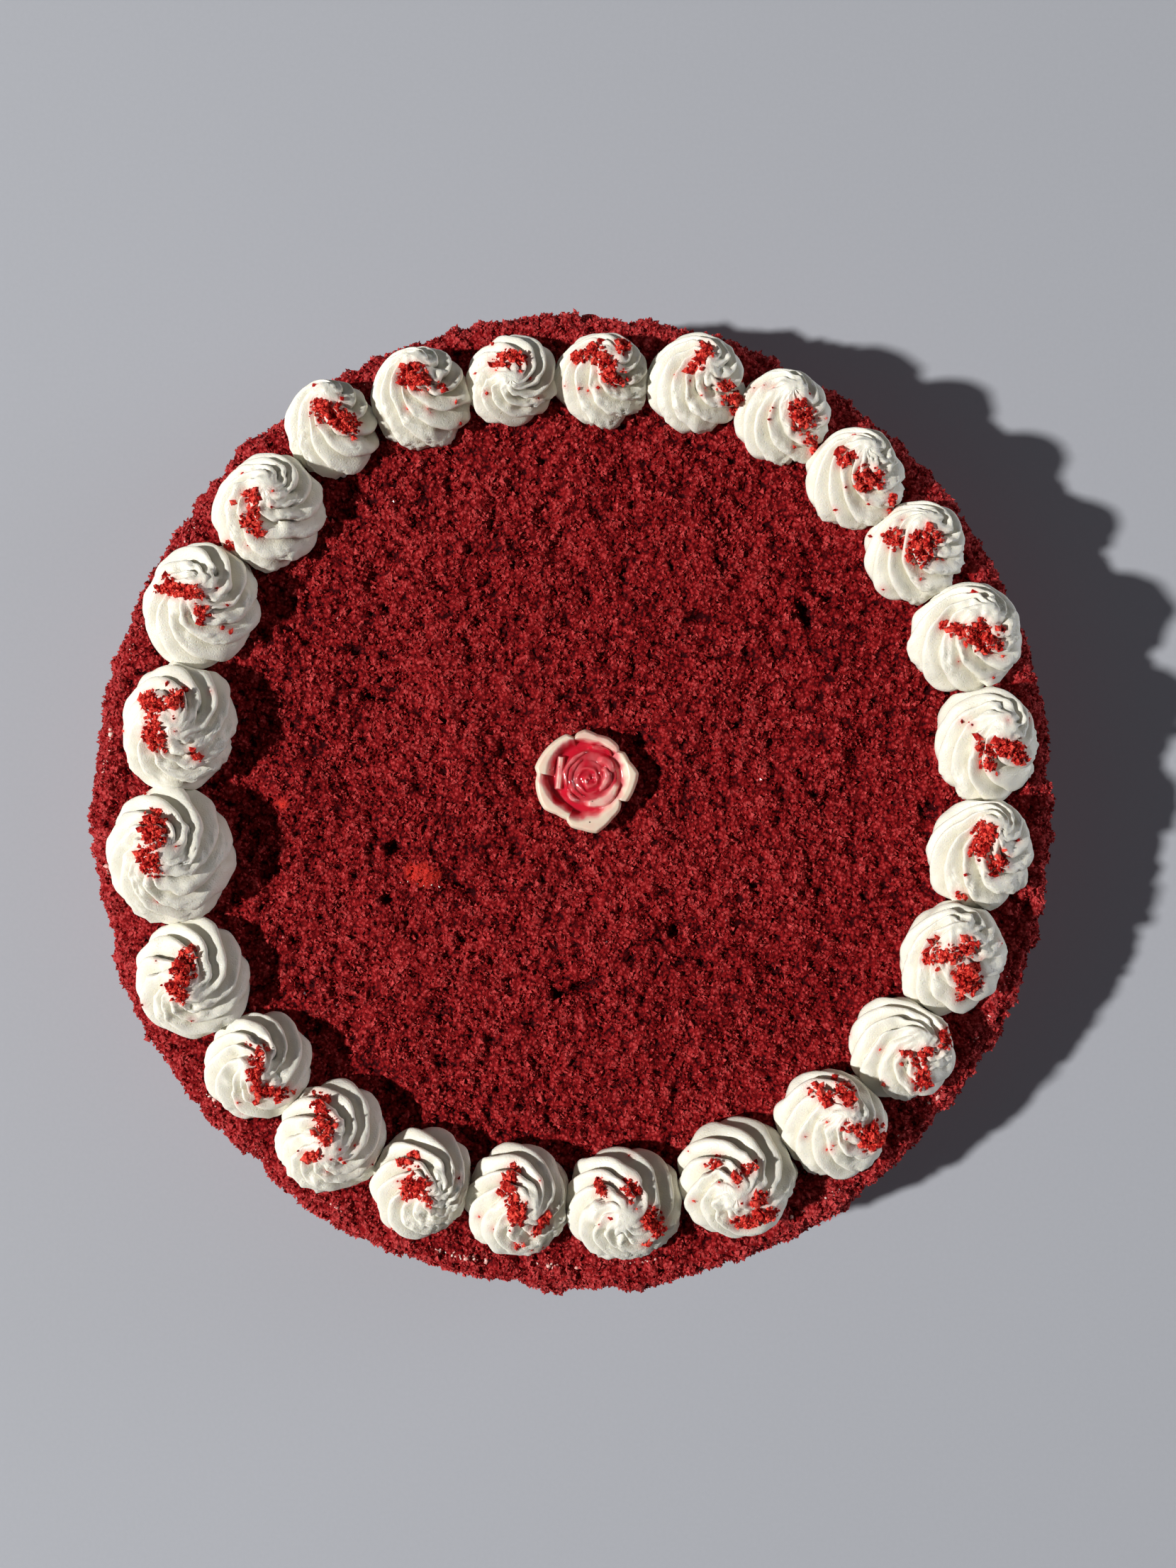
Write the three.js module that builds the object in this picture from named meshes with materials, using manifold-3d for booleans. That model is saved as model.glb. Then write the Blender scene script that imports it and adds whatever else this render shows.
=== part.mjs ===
// A round red velvet cake, rolled in its own crumbs, with a ring of piped cream swirls and a
// moulded rose in the middle. Sizes are in millimetres and +Z is up. The origin is the middle of
// the flat underside. Each swirl, the rose and the cake itself are one closed solid each.
import * as THREE from "three";
import { mergeVertices } from "three/addons/utils/BufferGeometryUtils.js";
import Module from "manifold-3d";

const wasm = await Module();
wasm.setup();

// The cake: the sponge with its coat of crumbs.
const CAKE_WIDTH = 268; // over the crumbs, along X
const CAKE_DEPTH = 272; // over the crumbs, along Y
const CAKE_HEIGHT = 44; // the level that the swirls and the rose stand on
const RIM_ROUNDING = 4.5; // how far the top edge is rounded off inwards
const TOP_RINGS = 15; // rings of facets over the top
const TOP_RELIEF = 2.2; // greatest rise and fall of the crumbs on the top
const TOP_ROUGHNESS = 0.55; // share of it that changes from one facet to the next
const SIDE_RELIEF = 1.3; // the same on the side
const SIDE_WAVE = 0.9; // slow waver of the outline
const TOP_LUMPS = 13; // larger clumps of crumb on the open middle
const RIM_LUMPS = 10; // larger clumps along the edge
const LUMP_SIZE = [1.8, 3.2]; // smallest and largest radius of a clump
const LUMP_HEIGHT = 0.8; // height of a clump, as a share of its width
// Cracks and pits in the open middle: x and y from the middle of the cake, length, width and the
// direction of the length in degrees anticlockwise of +X.
const HOLLOWS = [
  [1, -50.8, 15.5, 3, 23],
  [-53.8, 29.2, 9.5, 1.6, -2],
  [-51.6, -26.1, 3.6, 3.2, 0],
  [-49, -11.8, 4.4, 3, -50],
  [27.5, -34.6, 4.4, 3.6, 40],
  [63.5, 53, 8.5, 3.4, -75],
];
const HOLLOW_DEPTH = 2.6;
const LUMP_SUNK = 0.35; // how far a clump's middle is below the surface, as a share of its radius
const SIDE_LUMP_SUNK = 0.6; // the same on the side
const LUMP_CORNERS = [0.75, 1.2]; // how far its corners lie out, as a share of its radius
const MOUNDS = 60; // slow mounds and hollows over the top
const MOUND_SIZE = [6, 15]; // smallest and largest radius of one
const FACET_JITTER = 1; // how far the corners of the top's facets stray inwards or outwards
const LEVEL_JITTER = 0.8; // how far the corners of the side's facets stray up or down
// How far crumbs keep from the ring's line and from the rose's middle: none rise nearer than the
// first distance, and all may beyond the second.
const RISE_FROM_RING = [24, 32];
const RISE_FROM_ROSE = [21, 26];
const FALL_FROM_RING = [11, 17];
const FALL_FROM_ROSE = [9, 13];

// The ring of swirls, which lies a little off the middle of the cake.
const RING_RADIUS = 111.7;
const RING_CENTRE = new THREE.Vector2(0, 4);
const FIRST_SWIRL = 4; // degrees clockwise of +Y
const GAP = 0.3; // between pieces that touch

// Each swirl clockwise from the first: its room along the ring, its width across the ring, how
// far it sits outside the ring's line, and how far its peak leans to +X and +Y.
const SWIRLS = [
  [25, 25, 0, 2, 4.5],
  [25, 27, 3, 3, 4],
  [24, 26, 4, 2, 6],
  [26, 26, 1.5, 2, 7],
  [25, 28, 1, 1.5, 7.5],
  [28, 31, 2.5, 2.5, 6],
  [30, 27.5, 0.5, 2, 5.6],
  [29, 29, 0, 2.2, 7.8],
  [30, 28.5, 1, -0.8, 9.5],
  [26, 30, 2, 4.5, 4],
  [27, 31.5, 3, 2, 5],
  [31, 32, 2, -1, -2.5],
  [31, 30.5, 1, 0, -0.7],
  [26.5, 31.5, 1, 3.5, 0.8],
  [25.5, 30.5, 3, 3.7, 0],
  [27.5, 31, 3, 0.5, -1],
  [27, 30, 2, 1.5, 0.5],
  [31, 32, 3.8, 0.5, -2],
  [36, 34, -1.5, 0.8, 0],
  [34, 31, -3.2, 2, -0.5],
  [33, 31, 0.8, 1.8, 3.8],
  [30, 29.5, 0.5, 2, 4.5],
  [23, 26, 5.5, 0, 9],
  [26, 26.5, 1.8, 0, 8.5],
  [24, 24.5, 1.2, 0.5, -3],
];

// One swirl: a dome of ridges that wind outwards from the peak.
const PRESSED = 0.94; // room along the ring, as a share of the width it would have alone
const SWIRL_HEIGHT = 0.6; // of its mean width
const HEIGHT_SPREAD = [0.93, 1.07]; // shortest and tallest, against the usual height
const RIDGES = 9;
const RIDGE_SPREAD = 0.04; // how much ridges differ, as a share of the radius
const TWIST = 185; // degrees that a ridge turns, anticlockwise, from the peak to the foot
const LEAN_GROWTH = 1.6; // above 1, the lean grows towards the peak
// From the foot up: height, radius, how far the ridges have wound, and depth of the valleys.
const SWIRL_LEVELS = [
  [0, 0.9, 1.02, 0.1],
  [0.17, 1, 0.93, 0.13],
  [0.4, 0.95, 0.81, 0.16],
  [0.6, 0.81, 0.66, 0.2],
  [0.77, 0.58, 0.47, 0.25],
  [0.89, 0.34, 0.27, 0.28],
  [0.965, 0.15, 0.12, 0.3],
];
// The clumps of red crumbs fused on each swirl: x and y of the middle from the swirl's own,
// length, width, and direction in degrees anticlockwise of +X.
const SWIRL_CLUMPS = [
  [[1.5, 0.5, 10, 5, 135], [-4.5, 5, 9, 4, 35]],
  [[9, -4.5, 9, 5, 140], [0.5, 5, 9.5, 4, 60]],
  [[4.5, -1.5, 8, 5.5, 148], [8, -7.5, 6, 3, 154]],
  [[2.5, -0.5, 8, 6.5, 10], [-4, 4.5, 5, 3.5, 150]],
  [[0, 1, 9, 8, 15], [-7.5, 3, 5, 3.5, 100]],
  [[2, -0.5, 11, 6.5, 155], [-5.5, 2, 6, 3, 150]],
  [[4.5, -1.5, 11, 5.5, 150], [-2.5, -1, 5, 3.5, 130]],
  [[-2, 4.5, 10, 6.5, 100], [2.5, -1.5, 6, 4.5, 40]],
  [[2.5, -3.5, 9, 8, 100], [-3, 3.5, 14, 4.5, 15]],
  [[4, -7, 7, 4.5, 120], [4, -0.5, 5.5, 3.5, 60]],
  [[10, -2, 9, 8, 150], [2, 10, 7, 4, 105]],
  [[4.5, -9, 11.5, 5.5, 20], [4.5, -3.5, 5.5, 4.5, 60]],
  [[8, -2.5, 8.5, 5, 126], [2, 6, 5.5, 4, 150]],
  [[0.5, 0.5, 8, 5.5, 115], [-2, 7.5, 8, 4.5, 80]],
  [[-1, 1.5, 8, 6, 34], [-2.5, 8, 6, 2.5, 34]],
  [[-1, 7, 12, 5, 116], [-2.5, -2.5, 4, 2.5, 30]],
  [[2, 2, 9.5, 3.5, 80], [6.5, -6, 7, 3.5, 156]],
  [[0, 4, 9, 5.5, 100], [-0.5, -2, 6.5, 4, 140]],
  [[-1.5, 7, 10, 7, 95], [-1.5, -1, 8, 5.5, 105]],
  [[-3, -2.5, 10, 6.5, 120], [-4, 6, 9.5, 5, 150]],
  [[-2.5, 3.5, 13, 4.5, 160], [2.5, -2.5, 3.5, 3, 130]],
  [[-1.5, -4, 8, 5.5, 80], [-2, 2, 5, 2.5, 158]],
  [[4.5, 0.5, 8, 6.5, 160], [-1, 4, 7, 5, 150]],
  [[-0.5, 3.5, 9, 5.5, 166], [6.5, 1.5, 2.5, 1.5, 127]],
  [[0, 3.5, 9.5, 4.5, 0]],
];
const CLUMP_STRETCH = 2; // greatest length of a clump for its width

// The rose.
const ROSE_PLACE = new THREE.Vector2(3.7, 6.2);
const ROSE_HEIGHT = 7.5;
const ROSE_RINGS = 11;
const ROSE_FLOOR = 0.42; // height of the hollow between the petals, as a share
const ROSE_FOOT = 0.86; // the underside, as a share of the outline
const ROSE_WALL = 0.45; // height of the outer wall, as a share
const ROSE_TOP = 0.97; // where the top starts inside the outline, as a share of it
const PETAL_RISE = 0.42; // from the hollow up to the outer petals' rims
const PETAL_DROP = 0.12; // from the rims down to the outline
const BUD = { height: 0.74, inner: 4.5, outer: 7.5, x: 0.9, y: 0.9 };
// The outline of the outer petals: directions in degrees anticlockwise of +X, the radius there,
// and the radius of the inner edge of the rim.
const ROSE_OUTLINE = [
  [-31, 10.3, 9.9], [-27, 12.4, 10.2], [-17, 12.8, 10.5], [-8, 13.2, 10.9], [1, 13.8, 11.2],
  [9, 14.3, 11.4], [17, 13.6, 11.5], [25, 12.9, 11.6], [38, 13, 11.3], [44, 12, 11.1],
  [49, 13, 10.9], [63, 13.4, 10.9], [77, 13.1, 11.2], [85, 13.7, 11.3], [92, 14.2, 11.5],
  [101, 13.6, 11.7], [107, 12.4, 11.9], [113, 14.1, 12.1], [124, 14.2, 12], [135, 14.2, 11.9],
  [151, 14.4, 11.7], [165, 14.7, 11.3], [171, 13.7, 11.9], [180, 14, 12.3], [192, 14, 11.6],
  [203, 14, 11.1], [213, 13.9, 10.6], [227, 12.3, 10], [243, 11.8, 10.2], [251, 13.2, 11.2],
  [258, 13.3, 11.2], [265, 13.4, 10.9], [281, 14.4, 10.3], [287, 13.8, 10.1], [304, 12.4, 9.8],
  [318, 12, 9.8],
];
const RIM_SLOPE = [-1.8, 0.4]; // where the slope from hollow to rim starts and ends, from that edge
const DROP_START = 0.9; // where the drop to the outline starts, as a share of the radius
// Inner petals as curved lips: centre x and y, radius, start and sweep in degrees, height share.
const INNER_PETALS = [
  [1.2, 1.3, 7.3, 252, 100, 0.86],
  [1.4, 1.0, 7.1, 95, 150, 0.84],
  [1.6, 1.0, 5.3, 15, 68, 0.86],
  [1.6, 1.0, 3.5, -68, 118, 0.95],
  [0.7, 0.8, 3.7, 150, 150, 0.88],
  [0.6, 0.6, 1.2, 190, 190, 0.95],
  [-16.0, 2.4, 9.2, -27, 54, 0.82],
];
const LIP_WIDTH = 1.2; // half the thickness of a petal's lip
const LIP_SLOPE = [0.5, 1.6]; // where the lip's flank starts and ends, in such halves

// Finishes.
const CRUMB_RED = 0x7c1214;
const CREAM_WHITE = 0xf1eee2;
const ROSE_PINK = 0xd98a86;

// Repeatable random numbers from 0 to 1.
function randomFrom(seed) {
  let state = seed;
  return () => {
    state = (state + 0x6d2b79f5) | 0;
    let t = Math.imul(state ^ (state >>> 15), 1 | state);
    t = (t + Math.imul(t ^ (t >>> 7), 61 | t)) ^ t;
    return ((t ^ (t >>> 14)) >>> 0) / 4294967296;
  };
}

const radians = THREE.MathUtils.degToRad;
const mix = THREE.MathUtils.lerp;
const smooth = THREE.MathUtils.smoothstep;

// A closed solid from rings of points, each with the same count, and a point at each end.
function loft(foot, rings, peak) {
  const points = [foot, ...rings.flat(), peak];
  const count = rings[0].length;
  const last = points.length - 1;
  const faces = [];
  const at = (ring, i) => 1 + ring * count + (i % count);
  for (let i = 0; i < count; i++) {
    faces.push(0, at(0, i + 1), at(0, i));
    faces.push(last, at(rings.length - 1, i), at(rings.length - 1, i + 1));
    for (let ring = 0; ring < rings.length - 1; ring++) {
      const [a, b] = [at(ring, i), at(ring, i + 1)];
      const [c, d] = [at(ring + 1, i), at(ring + 1, i + 1)];
      if (points[a].distanceTo(points[d]) < points[b].distanceTo(points[c])) {
        faces.push(a, b, d, a, d, c);
      } else {
        faces.push(a, b, c, b, d, c);
      }
    }
  }
  return geometryOf(points, faces);
}

function geometryOf(points, faces) {
  const geometry = new THREE.BufferGeometry().setFromPoints(points);
  geometry.setIndex(faces);
  return geometry;
}

function solidOf(geometry) {
  const merged = mergeVertices(geometry, 1e-4);
  const mesh = new wasm.Mesh({
    numProp: 3,
    vertProperties: new Float32Array(merged.attributes.position.array),
    triVerts: new Uint32Array(merged.index.array),
  });
  return new wasm.Manifold(mesh);
}

function geometryFrom(solid) {
  const mesh = solid.getMesh();
  const geometry = new THREE.BufferGeometry();
  geometry.setAttribute("position", new THREE.BufferAttribute(mesh.vertProperties, 3));
  geometry.setIndex(new THREE.BufferAttribute(mesh.triVerts, 1));
  return geometry;
}

// A clump of crumb: a small ball with its corners pushed in and out, longer along a direction.
function lump(centre, radius, random, stretch = 1, direction = random() * 2 * Math.PI) {
  const ball = new THREE.IcosahedronGeometry(radius, 0);
  ball.deleteAttribute("normal");
  ball.deleteAttribute("uv");
  const shape = mergeVertices(ball, 1e-4);
  const place = shape.attributes.position;
  const corner = new THREE.Vector3();
  for (let i = 0; i < place.count; i++) {
    corner.fromBufferAttribute(place, i).multiplyScalar(mix(...LUMP_CORNERS, random()));
    place.setXYZ(i, corner.x * stretch, corner.y, corner.z * LUMP_HEIGHT);
  }
  shape.rotateZ(direction);
  shape.translate(centre.x, centre.y, centre.z);
  return shape;
}

// The place on a body where a line from outside it first meets it.
function placeOn(body, from, direction) {
  const mesh = new THREE.Mesh(body);
  return new THREE.Raycaster(from, direction).intersectObject(mesh)[0].point;
}

const DOWN = new THREE.Vector3(0, 0, -1);
const OVERHEAD = 200; // a height well above every piece

// A clump of crumb that lies on a body, a little sunk in, above or below a given place.
function lumpOn(body, x, y, size, random, ...shape) {
  const centre = placeOn(body, new THREE.Vector3(x, y, OVERHEAD), DOWN);
  centre.z -= size * LUMP_SUNK;
  return lump(centre, size, random, ...shape);
}

// The body with every lump joined to it and every hollow cut out of it.
function fused(body, lumps, hollows = []) {
  let solid = solidOf(body);
  for (const piece of lumps) {
    solid = solid.add(solidOf(piece));
  }
  for (const hollow of hollows) {
    solid = solid.subtract(solidOf(hollow));
  }
  return geometryFrom(solid);
}

// How much the crumbs may rise or fall at a place on the top: nothing under the swirls and the
// rose, which stand level, and no rise close to them.
function reliefAt(x, y, height) {
  const fromRing = Math.abs(Math.hypot(x - RING_CENTRE.x, y - RING_CENTRE.y) - RING_RADIUS);
  const fromRose = Math.hypot(x - ROSE_PLACE.x, y - ROSE_PLACE.y);
  const rise = Math.min(smooth(fromRing, ...RISE_FROM_RING), smooth(fromRose, ...RISE_FROM_ROSE));
  const fall = Math.min(smooth(fromRing, ...FALL_FROM_RING), smooth(fromRose, ...FALL_FROM_ROSE));
  return height > 0 ? height * rise : height * fall;
}

// Slow unevenness of the outline, from a few waves with seeded phases.
const outlineRandom = randomFrom(11);
const OUTLINE_WAVES = [2, 3, 5, 7, 11].map((turns) => {
  return { turns, phase: outlineRandom() * 2 * Math.PI };
});

function outlineAt(angle) {
  let waver = 0;
  for (const { turns, phase } of OUTLINE_WAVES) {
    waver += Math.sin(turns * angle + phase) / OUTLINE_WAVES.length;
  }
  const across = (CAKE_WIDTH / 2) * (CAKE_DEPTH / 2);
  const round = across / Math.hypot(
    (CAKE_DEPTH / 2) * Math.cos(angle),
    (CAKE_WIDTH / 2) * Math.sin(angle),
  );
  return round - 0.5 * (SIDE_RELIEF + SIDE_WAVE) + SIDE_WAVE * waver;
}

// The height of the top away from its level: hollows and mounds of some centimetres across, with
// the crumbs' own roughness on them.
const mounds = [];
const moundRandom = randomFrom(23);
for (let i = 0; i < MOUNDS; i++) {
  mounds.push({
    x: (moundRandom() - 0.5) * CAKE_WIDTH,
    y: (moundRandom() - 0.5) * CAKE_DEPTH,
    size: mix(...MOUND_SIZE, moundRandom()),
    height: mix(-1, 1, moundRandom()) * TOP_RELIEF,
  });
}

function moundAt(x, y) {
  let height = 0;
  for (const mound of mounds) {
    const distance = Math.hypot(x - mound.x, y - mound.y) / mound.size;
    height += mound.height * Math.exp(-distance * distance);
  }
  return THREE.MathUtils.clamp(height, -TOP_RELIEF, TOP_RELIEF);
}

// The cake: rings of evenly spaced facets over the top, then the side down to a flat underside.
function cakeBody() {
  const random = randomFrom(37);
  const points = [new THREE.Vector3(0, 0, CAKE_HEIGHT)];
  const starts = [0];
  for (let ring = 1; ring <= TOP_RINGS; ring++) {
    starts.push(points.length);
    for (let i = 0; i < 6 * ring; i++) {
      const angle = (i / (6 * ring)) * 2 * Math.PI;
      const stray = mix(-1, 1, random()) * FACET_JITTER;
      const radius = (ring / TOP_RINGS) * (outlineAt(angle) - RIM_ROUNDING) + stray;
      const x = radius * Math.cos(angle);
      const y = radius * Math.sin(angle);
      const rough = mix(-1, 1, random()) * TOP_RELIEF * TOP_ROUGHNESS;
      const height = moundAt(x, y) * (1 - TOP_ROUGHNESS) + rough;
      points.push(new THREE.Vector3(x, y, CAKE_HEIGHT + reliefAt(x, y, height)));
    }
  }
  const faces = topFaces(starts);
  sideOf(points, faces, starts[TOP_RINGS], 6 * TOP_RINGS, random);
  return geometryOf(points, faces);
}

// Six wedges of triangles between each ring of points and the next.
function topFaces(starts) {
  const faces = [];
  for (let ring = 1; ring <= TOP_RINGS; ring++) {
    const outer = (wedge, i) => starts[ring] + ((wedge * ring + i) % (6 * ring));
    const inner = (wedge, i) =>
      ring === 1 ? 0 : starts[ring - 1] + ((wedge * (ring - 1) + i) % (6 * (ring - 1)));
    for (let wedge = 0; wedge < 6; wedge++) {
      for (let i = 0; i < ring; i++) {
        faces.push(inner(wedge, i), outer(wedge, i), outer(wedge, i + 1));
        if (i < ring - 1) {
          faces.push(inner(wedge, i), outer(wedge, i + 1), inner(wedge, i + 1));
        }
      }
    }
  }
  return faces;
}

// Levels of the side from the rounded edge down: height as a share, and how far in from the
// outline in millimetres.
const SIDE_LEVELS = [
  [0.95, 1.2],
  [0.82, 0.2],
  [0.6, 0],
  [0.38, 0.2],
  [0.15, 0],
  [0, 0.9],
];

function sideOf(points, faces, rimStart, count, random) {
  let above = rimStart;
  for (const [share, inset] of SIDE_LEVELS) {
    const start = points.length;
    for (let i = 0; i < count; i++) {
      const angle = (i / count) * 2 * Math.PI;
      const rough = share > 0 ? mix(-1, 1, random()) * SIDE_RELIEF : 0;
      const radius = outlineAt(angle) - inset + rough;
      const stray = share > 0 ? mix(-1, 1, random()) * LEVEL_JITTER : 0;
      const height = share * CAKE_HEIGHT + stray;
      points.push(new THREE.Vector3(radius * Math.cos(angle), radius * Math.sin(angle), height));
    }
    for (let i = 0; i < count; i++) {
      const next = (i + 1) % count;
      faces.push(above + i, start + i, start + next);
      faces.push(above + i, start + next, above + next);
    }
    above = start;
  }
  const middle = points.length;
  points.push(new THREE.Vector3(0, 0, 0));
  for (let i = 0; i < count; i++) {
    faces.push(middle, above + ((i + 1) % count), above + i);
  }
}

const GOLDEN_ANGLE = Math.PI * (3 - Math.sqrt(5)); // spreads clumps evenly over a disc
const OPEN_MIDDLE = [26, 88]; // radii between the rose and the swirls

function cakeHollows(body) {
  const random = randomFrom(71);
  return HOLLOWS.map(([x, y, length, width, turned]) => {
    const place = placeOn(body, new THREE.Vector3(x, y, OVERHEAD), DOWN);
    const hollow = lump(new THREE.Vector3(), width / 2, random, length / width, radians(turned));
    hollow.scale(1, 1, (2 * HOLLOW_DEPTH) / (width * LUMP_HEIGHT));
    hollow.translate(place.x, place.y, place.z);
    return hollow;
  });
}

function cakeLumps(body) {
  const random = randomFrom(53);
  const lumps = [];
  for (let i = 0; i < TOP_LUMPS; i++) {
    const angle = i * GOLDEN_ANGLE + 0.5 * random();
    const radius = mix(...OPEN_MIDDLE, Math.sqrt((i + random()) / TOP_LUMPS));
    const x = RING_CENTRE.x + radius * Math.cos(angle);
    const y = RING_CENTRE.y + radius * Math.sin(angle);
    const size = mix(...LUMP_SIZE, random());
    lumps.push(lumpOn(body, x, y, size, random));
  }
  for (let i = 0; i < RIM_LUMPS; i++) {
    const angle = ((i + random()) / RIM_LUMPS) * 2 * Math.PI;
    const size = mix(...LUMP_SIZE, random());
    const inwards = new THREE.Vector3(-Math.cos(angle), -Math.sin(angle), 0);
    const outside = inwards.clone().multiplyScalar(-CAKE_DEPTH);
    outside.z = CAKE_HEIGHT * mix(0.15, 0.85, random());
    const centre = placeOn(body, outside, inwards).addScaledVector(inwards, size * SIDE_LUMP_SUNK);
    lumps.push(lump(centre, size, random));
  }
  return lumps;
}

// Where each swirl stands: the room that it takes along the ring gives its angle.
function swirlPlaces() {
  const whole = SWIRLS.reduce((sum, [room]) => sum + room, 0);
  const perMillimetre = (2 * Math.PI) / whole;
  let angle = Math.PI / 2 - radians(FIRST_SWIRL) + (SWIRLS[0][0] / 2) * perMillimetre;
  return SWIRLS.map(([room, across, out, east, north]) => {
    const half = (room / 2) * perMillimetre;
    angle -= half;
    const lean = new THREE.Vector3(east, north, 0);
    const place = { angle, half, radius: RING_RADIUS + out, along: room / PRESSED, across, lean };
    angle -= half;
    return place;
  });
}

// A point of a swirl, from the swirl's own middle, pressed back to the planes halfway to its
// neighbours. Both planes stand on the ring's axis.
function keptApart(point, place) {
  for (const side of [-1, 1]) {
    const plane = place.angle + side * place.half;
    const outward = new THREE.Vector3(-Math.sin(plane), Math.cos(plane), 0).multiplyScalar(side);
    const distance = place.radius * Math.sin(place.half) - GAP / 2;
    point.addScaledVector(outward, -Math.max(point.dot(outward) - distance, 0));
  }
  return point;
}

function swirlBody(place, height, random) {
  const phase = random() * 2 * Math.PI;
  const ridgeSize = Array.from({ length: RIDGES }, () => mix(-1, 1, random()) * RIDGE_SPREAD);
  const centreAt = (share) => {
    const middle = place.lean.clone().multiplyScalar(Math.pow(share, LEAN_GROWTH));
    return middle.setZ(share * height);
  };
  const rings = SWIRL_LEVELS.map(([share, reach, wound, depth]) => {
    const ring = [];
    for (let i = 0; i < 2 * RIDGES; i++) {
      const crest = i % 2 === 0;
      const angle = phase + (i / (2 * RIDGES)) * 2 * Math.PI + radians(TWIST) * wound;
      const fromRing = angle - place.angle;
      const half = 0.5 * Math.hypot(
        place.across * Math.cos(fromRing),
        place.along * Math.sin(fromRing),
      );
      const ridge = crest ? 1 + ridgeSize[i / 2] : 1 - depth;
      const offset = new THREE.Vector3(Math.cos(angle), Math.sin(angle), 0);
      const point = centreAt(share).addScaledVector(offset, half * reach * ridge);
      ring.push(keptApart(point, place));
    }
    return ring;
  });
  return loft(centreAt(0), rings, centreAt(1));
}

// The clumps of crumbs on a swirl, pressed back like the swirl itself.
function swirlLumps(body, place, clumps, random) {
  return clumps.map(([x, y, length, width, turned]) => {
    const stretch = Math.min(length / width, CLUMP_STRETCH);
    const shape = lumpOn(body, x, y, width / 2, random, stretch, radians(turned));
    const corners = shape.attributes.position;
    for (let i = 0; i < corners.count; i++) {
      const corner = new THREE.Vector3().fromBufferAttribute(corners, i);
      corners.setXYZ(i, ...keptApart(corner, place));
    }
    return shape;
  });
}

// The rose's height, as a share, at a place relative to its middle, with the radius of the
// outline and of the rim's inner edge in that direction.
function roseHeightAt(x, y, outline, rim) {
  const distance = Math.hypot(x, y);
  let height = ROSE_FLOOR + PETAL_RISE * smooth(distance - rim, ...RIM_SLOPE);
  height -= PETAL_DROP * smooth(distance / outline, DROP_START, 1);
  for (const [cx, cy, radius, start, sweep, top] of INNER_PETALS) {
    const dx = x - cx;
    const dy = y - cy;
    const turn = THREE.MathUtils.radToDeg(Math.atan2(dy, dx)) - start;
    const along = THREE.MathUtils.euclideanModulo(turn, 360);
    if (along <= sweep) {
      const fromLip = Math.abs(Math.hypot(dx, dy) - radius) / LIP_WIDTH;
      const lip = mix(ROSE_FLOOR, top, 1 - smooth(fromLip, ...LIP_SLOPE));
      height = Math.max(height, lip);
    }
  }
  const fromBud = Math.hypot(x - BUD.x, y - BUD.y);
  return Math.max(height, BUD.height * (1 - smooth(fromBud, BUD.inner, BUD.outer)));
}

function roseBody() {
  const ringOf = (share, heightOf) => ROSE_OUTLINE.map(([degrees, outline, rim]) => {
    const angle = radians(degrees);
    const x = share * outline * Math.cos(angle);
    const y = share * outline * Math.sin(angle);
    return new THREE.Vector3(x, y, heightOf(x, y, outline, rim) * ROSE_HEIGHT);
  });
  const rings = [ringOf(ROSE_FOOT, () => 0), ringOf(1, () => ROSE_WALL)];
  for (let i = ROSE_RINGS; i > 0; i--) {
    rings.push(ringOf((i / ROSE_RINGS) * ROSE_TOP, roseHeightAt));
  }
  const [, outline, rim] = ROSE_OUTLINE[0];
  const peak = new THREE.Vector3(0, 0, roseHeightAt(0, 0, outline, rim) * ROSE_HEIGHT);
  return loft(new THREE.Vector3(0, 0, 0), rings, peak);
}

function meshOf(name, geometry, colour, roughness) {
  const material = new THREE.MeshStandardMaterial({ color: colour, roughness, metalness: 0 });
  const mesh = new THREE.Mesh(geometry, material);
  mesh.name = name;
  return mesh;
}

const cake = new THREE.Group();

const sponge = cakeBody();
const crumbed = fused(sponge, cakeLumps(sponge), cakeHollows(sponge));
cake.add(meshOf("cake", crumbed, CRUMB_RED, 0.9));

swirlPlaces().forEach((place, i) => {
  const random = randomFrom(101 + i);
  const width = 0.5 * (place.along + place.across);
  const body = swirlBody(place, width * SWIRL_HEIGHT * mix(...HEIGHT_SPREAD, random()), random);
  const name = `swirl_${String(i + 1).padStart(2, "0")}`;
  const lumps = swirlLumps(body, place, SWIRL_CLUMPS[i], random);
  const swirl = meshOf(name, fused(body, lumps), CREAM_WHITE, 0.45);
  swirl.position.set(
    RING_CENTRE.x + place.radius * Math.cos(place.angle),
    RING_CENTRE.y + place.radius * Math.sin(place.angle),
    CAKE_HEIGHT + GAP,
  );
  cake.add(swirl);
});

const rose = meshOf("rose", roseBody(), ROSE_PINK, 0.3);
rose.position.set(ROSE_PLACE.x, ROSE_PLACE.y, CAKE_HEIGHT + GAP);
cake.add(rose);

// The middle of the whole outline goes over the origin.
const box = new THREE.Box3().setFromObject(cake);
const centre = box.getCenter(new THREE.Vector3());
cake.position.set(-centre.x, -centre.y, 0);

export default cake;
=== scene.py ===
"""A round red velvet cake: a coat of its own crumbs, a ring of piped cream swirls and a moulded
rose. Lengths in the code are millimetres unless a name says otherwise."""

import math

import bpy
import numpy as np
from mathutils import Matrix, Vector
from mathutils.bvhtree import BVHTree


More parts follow.
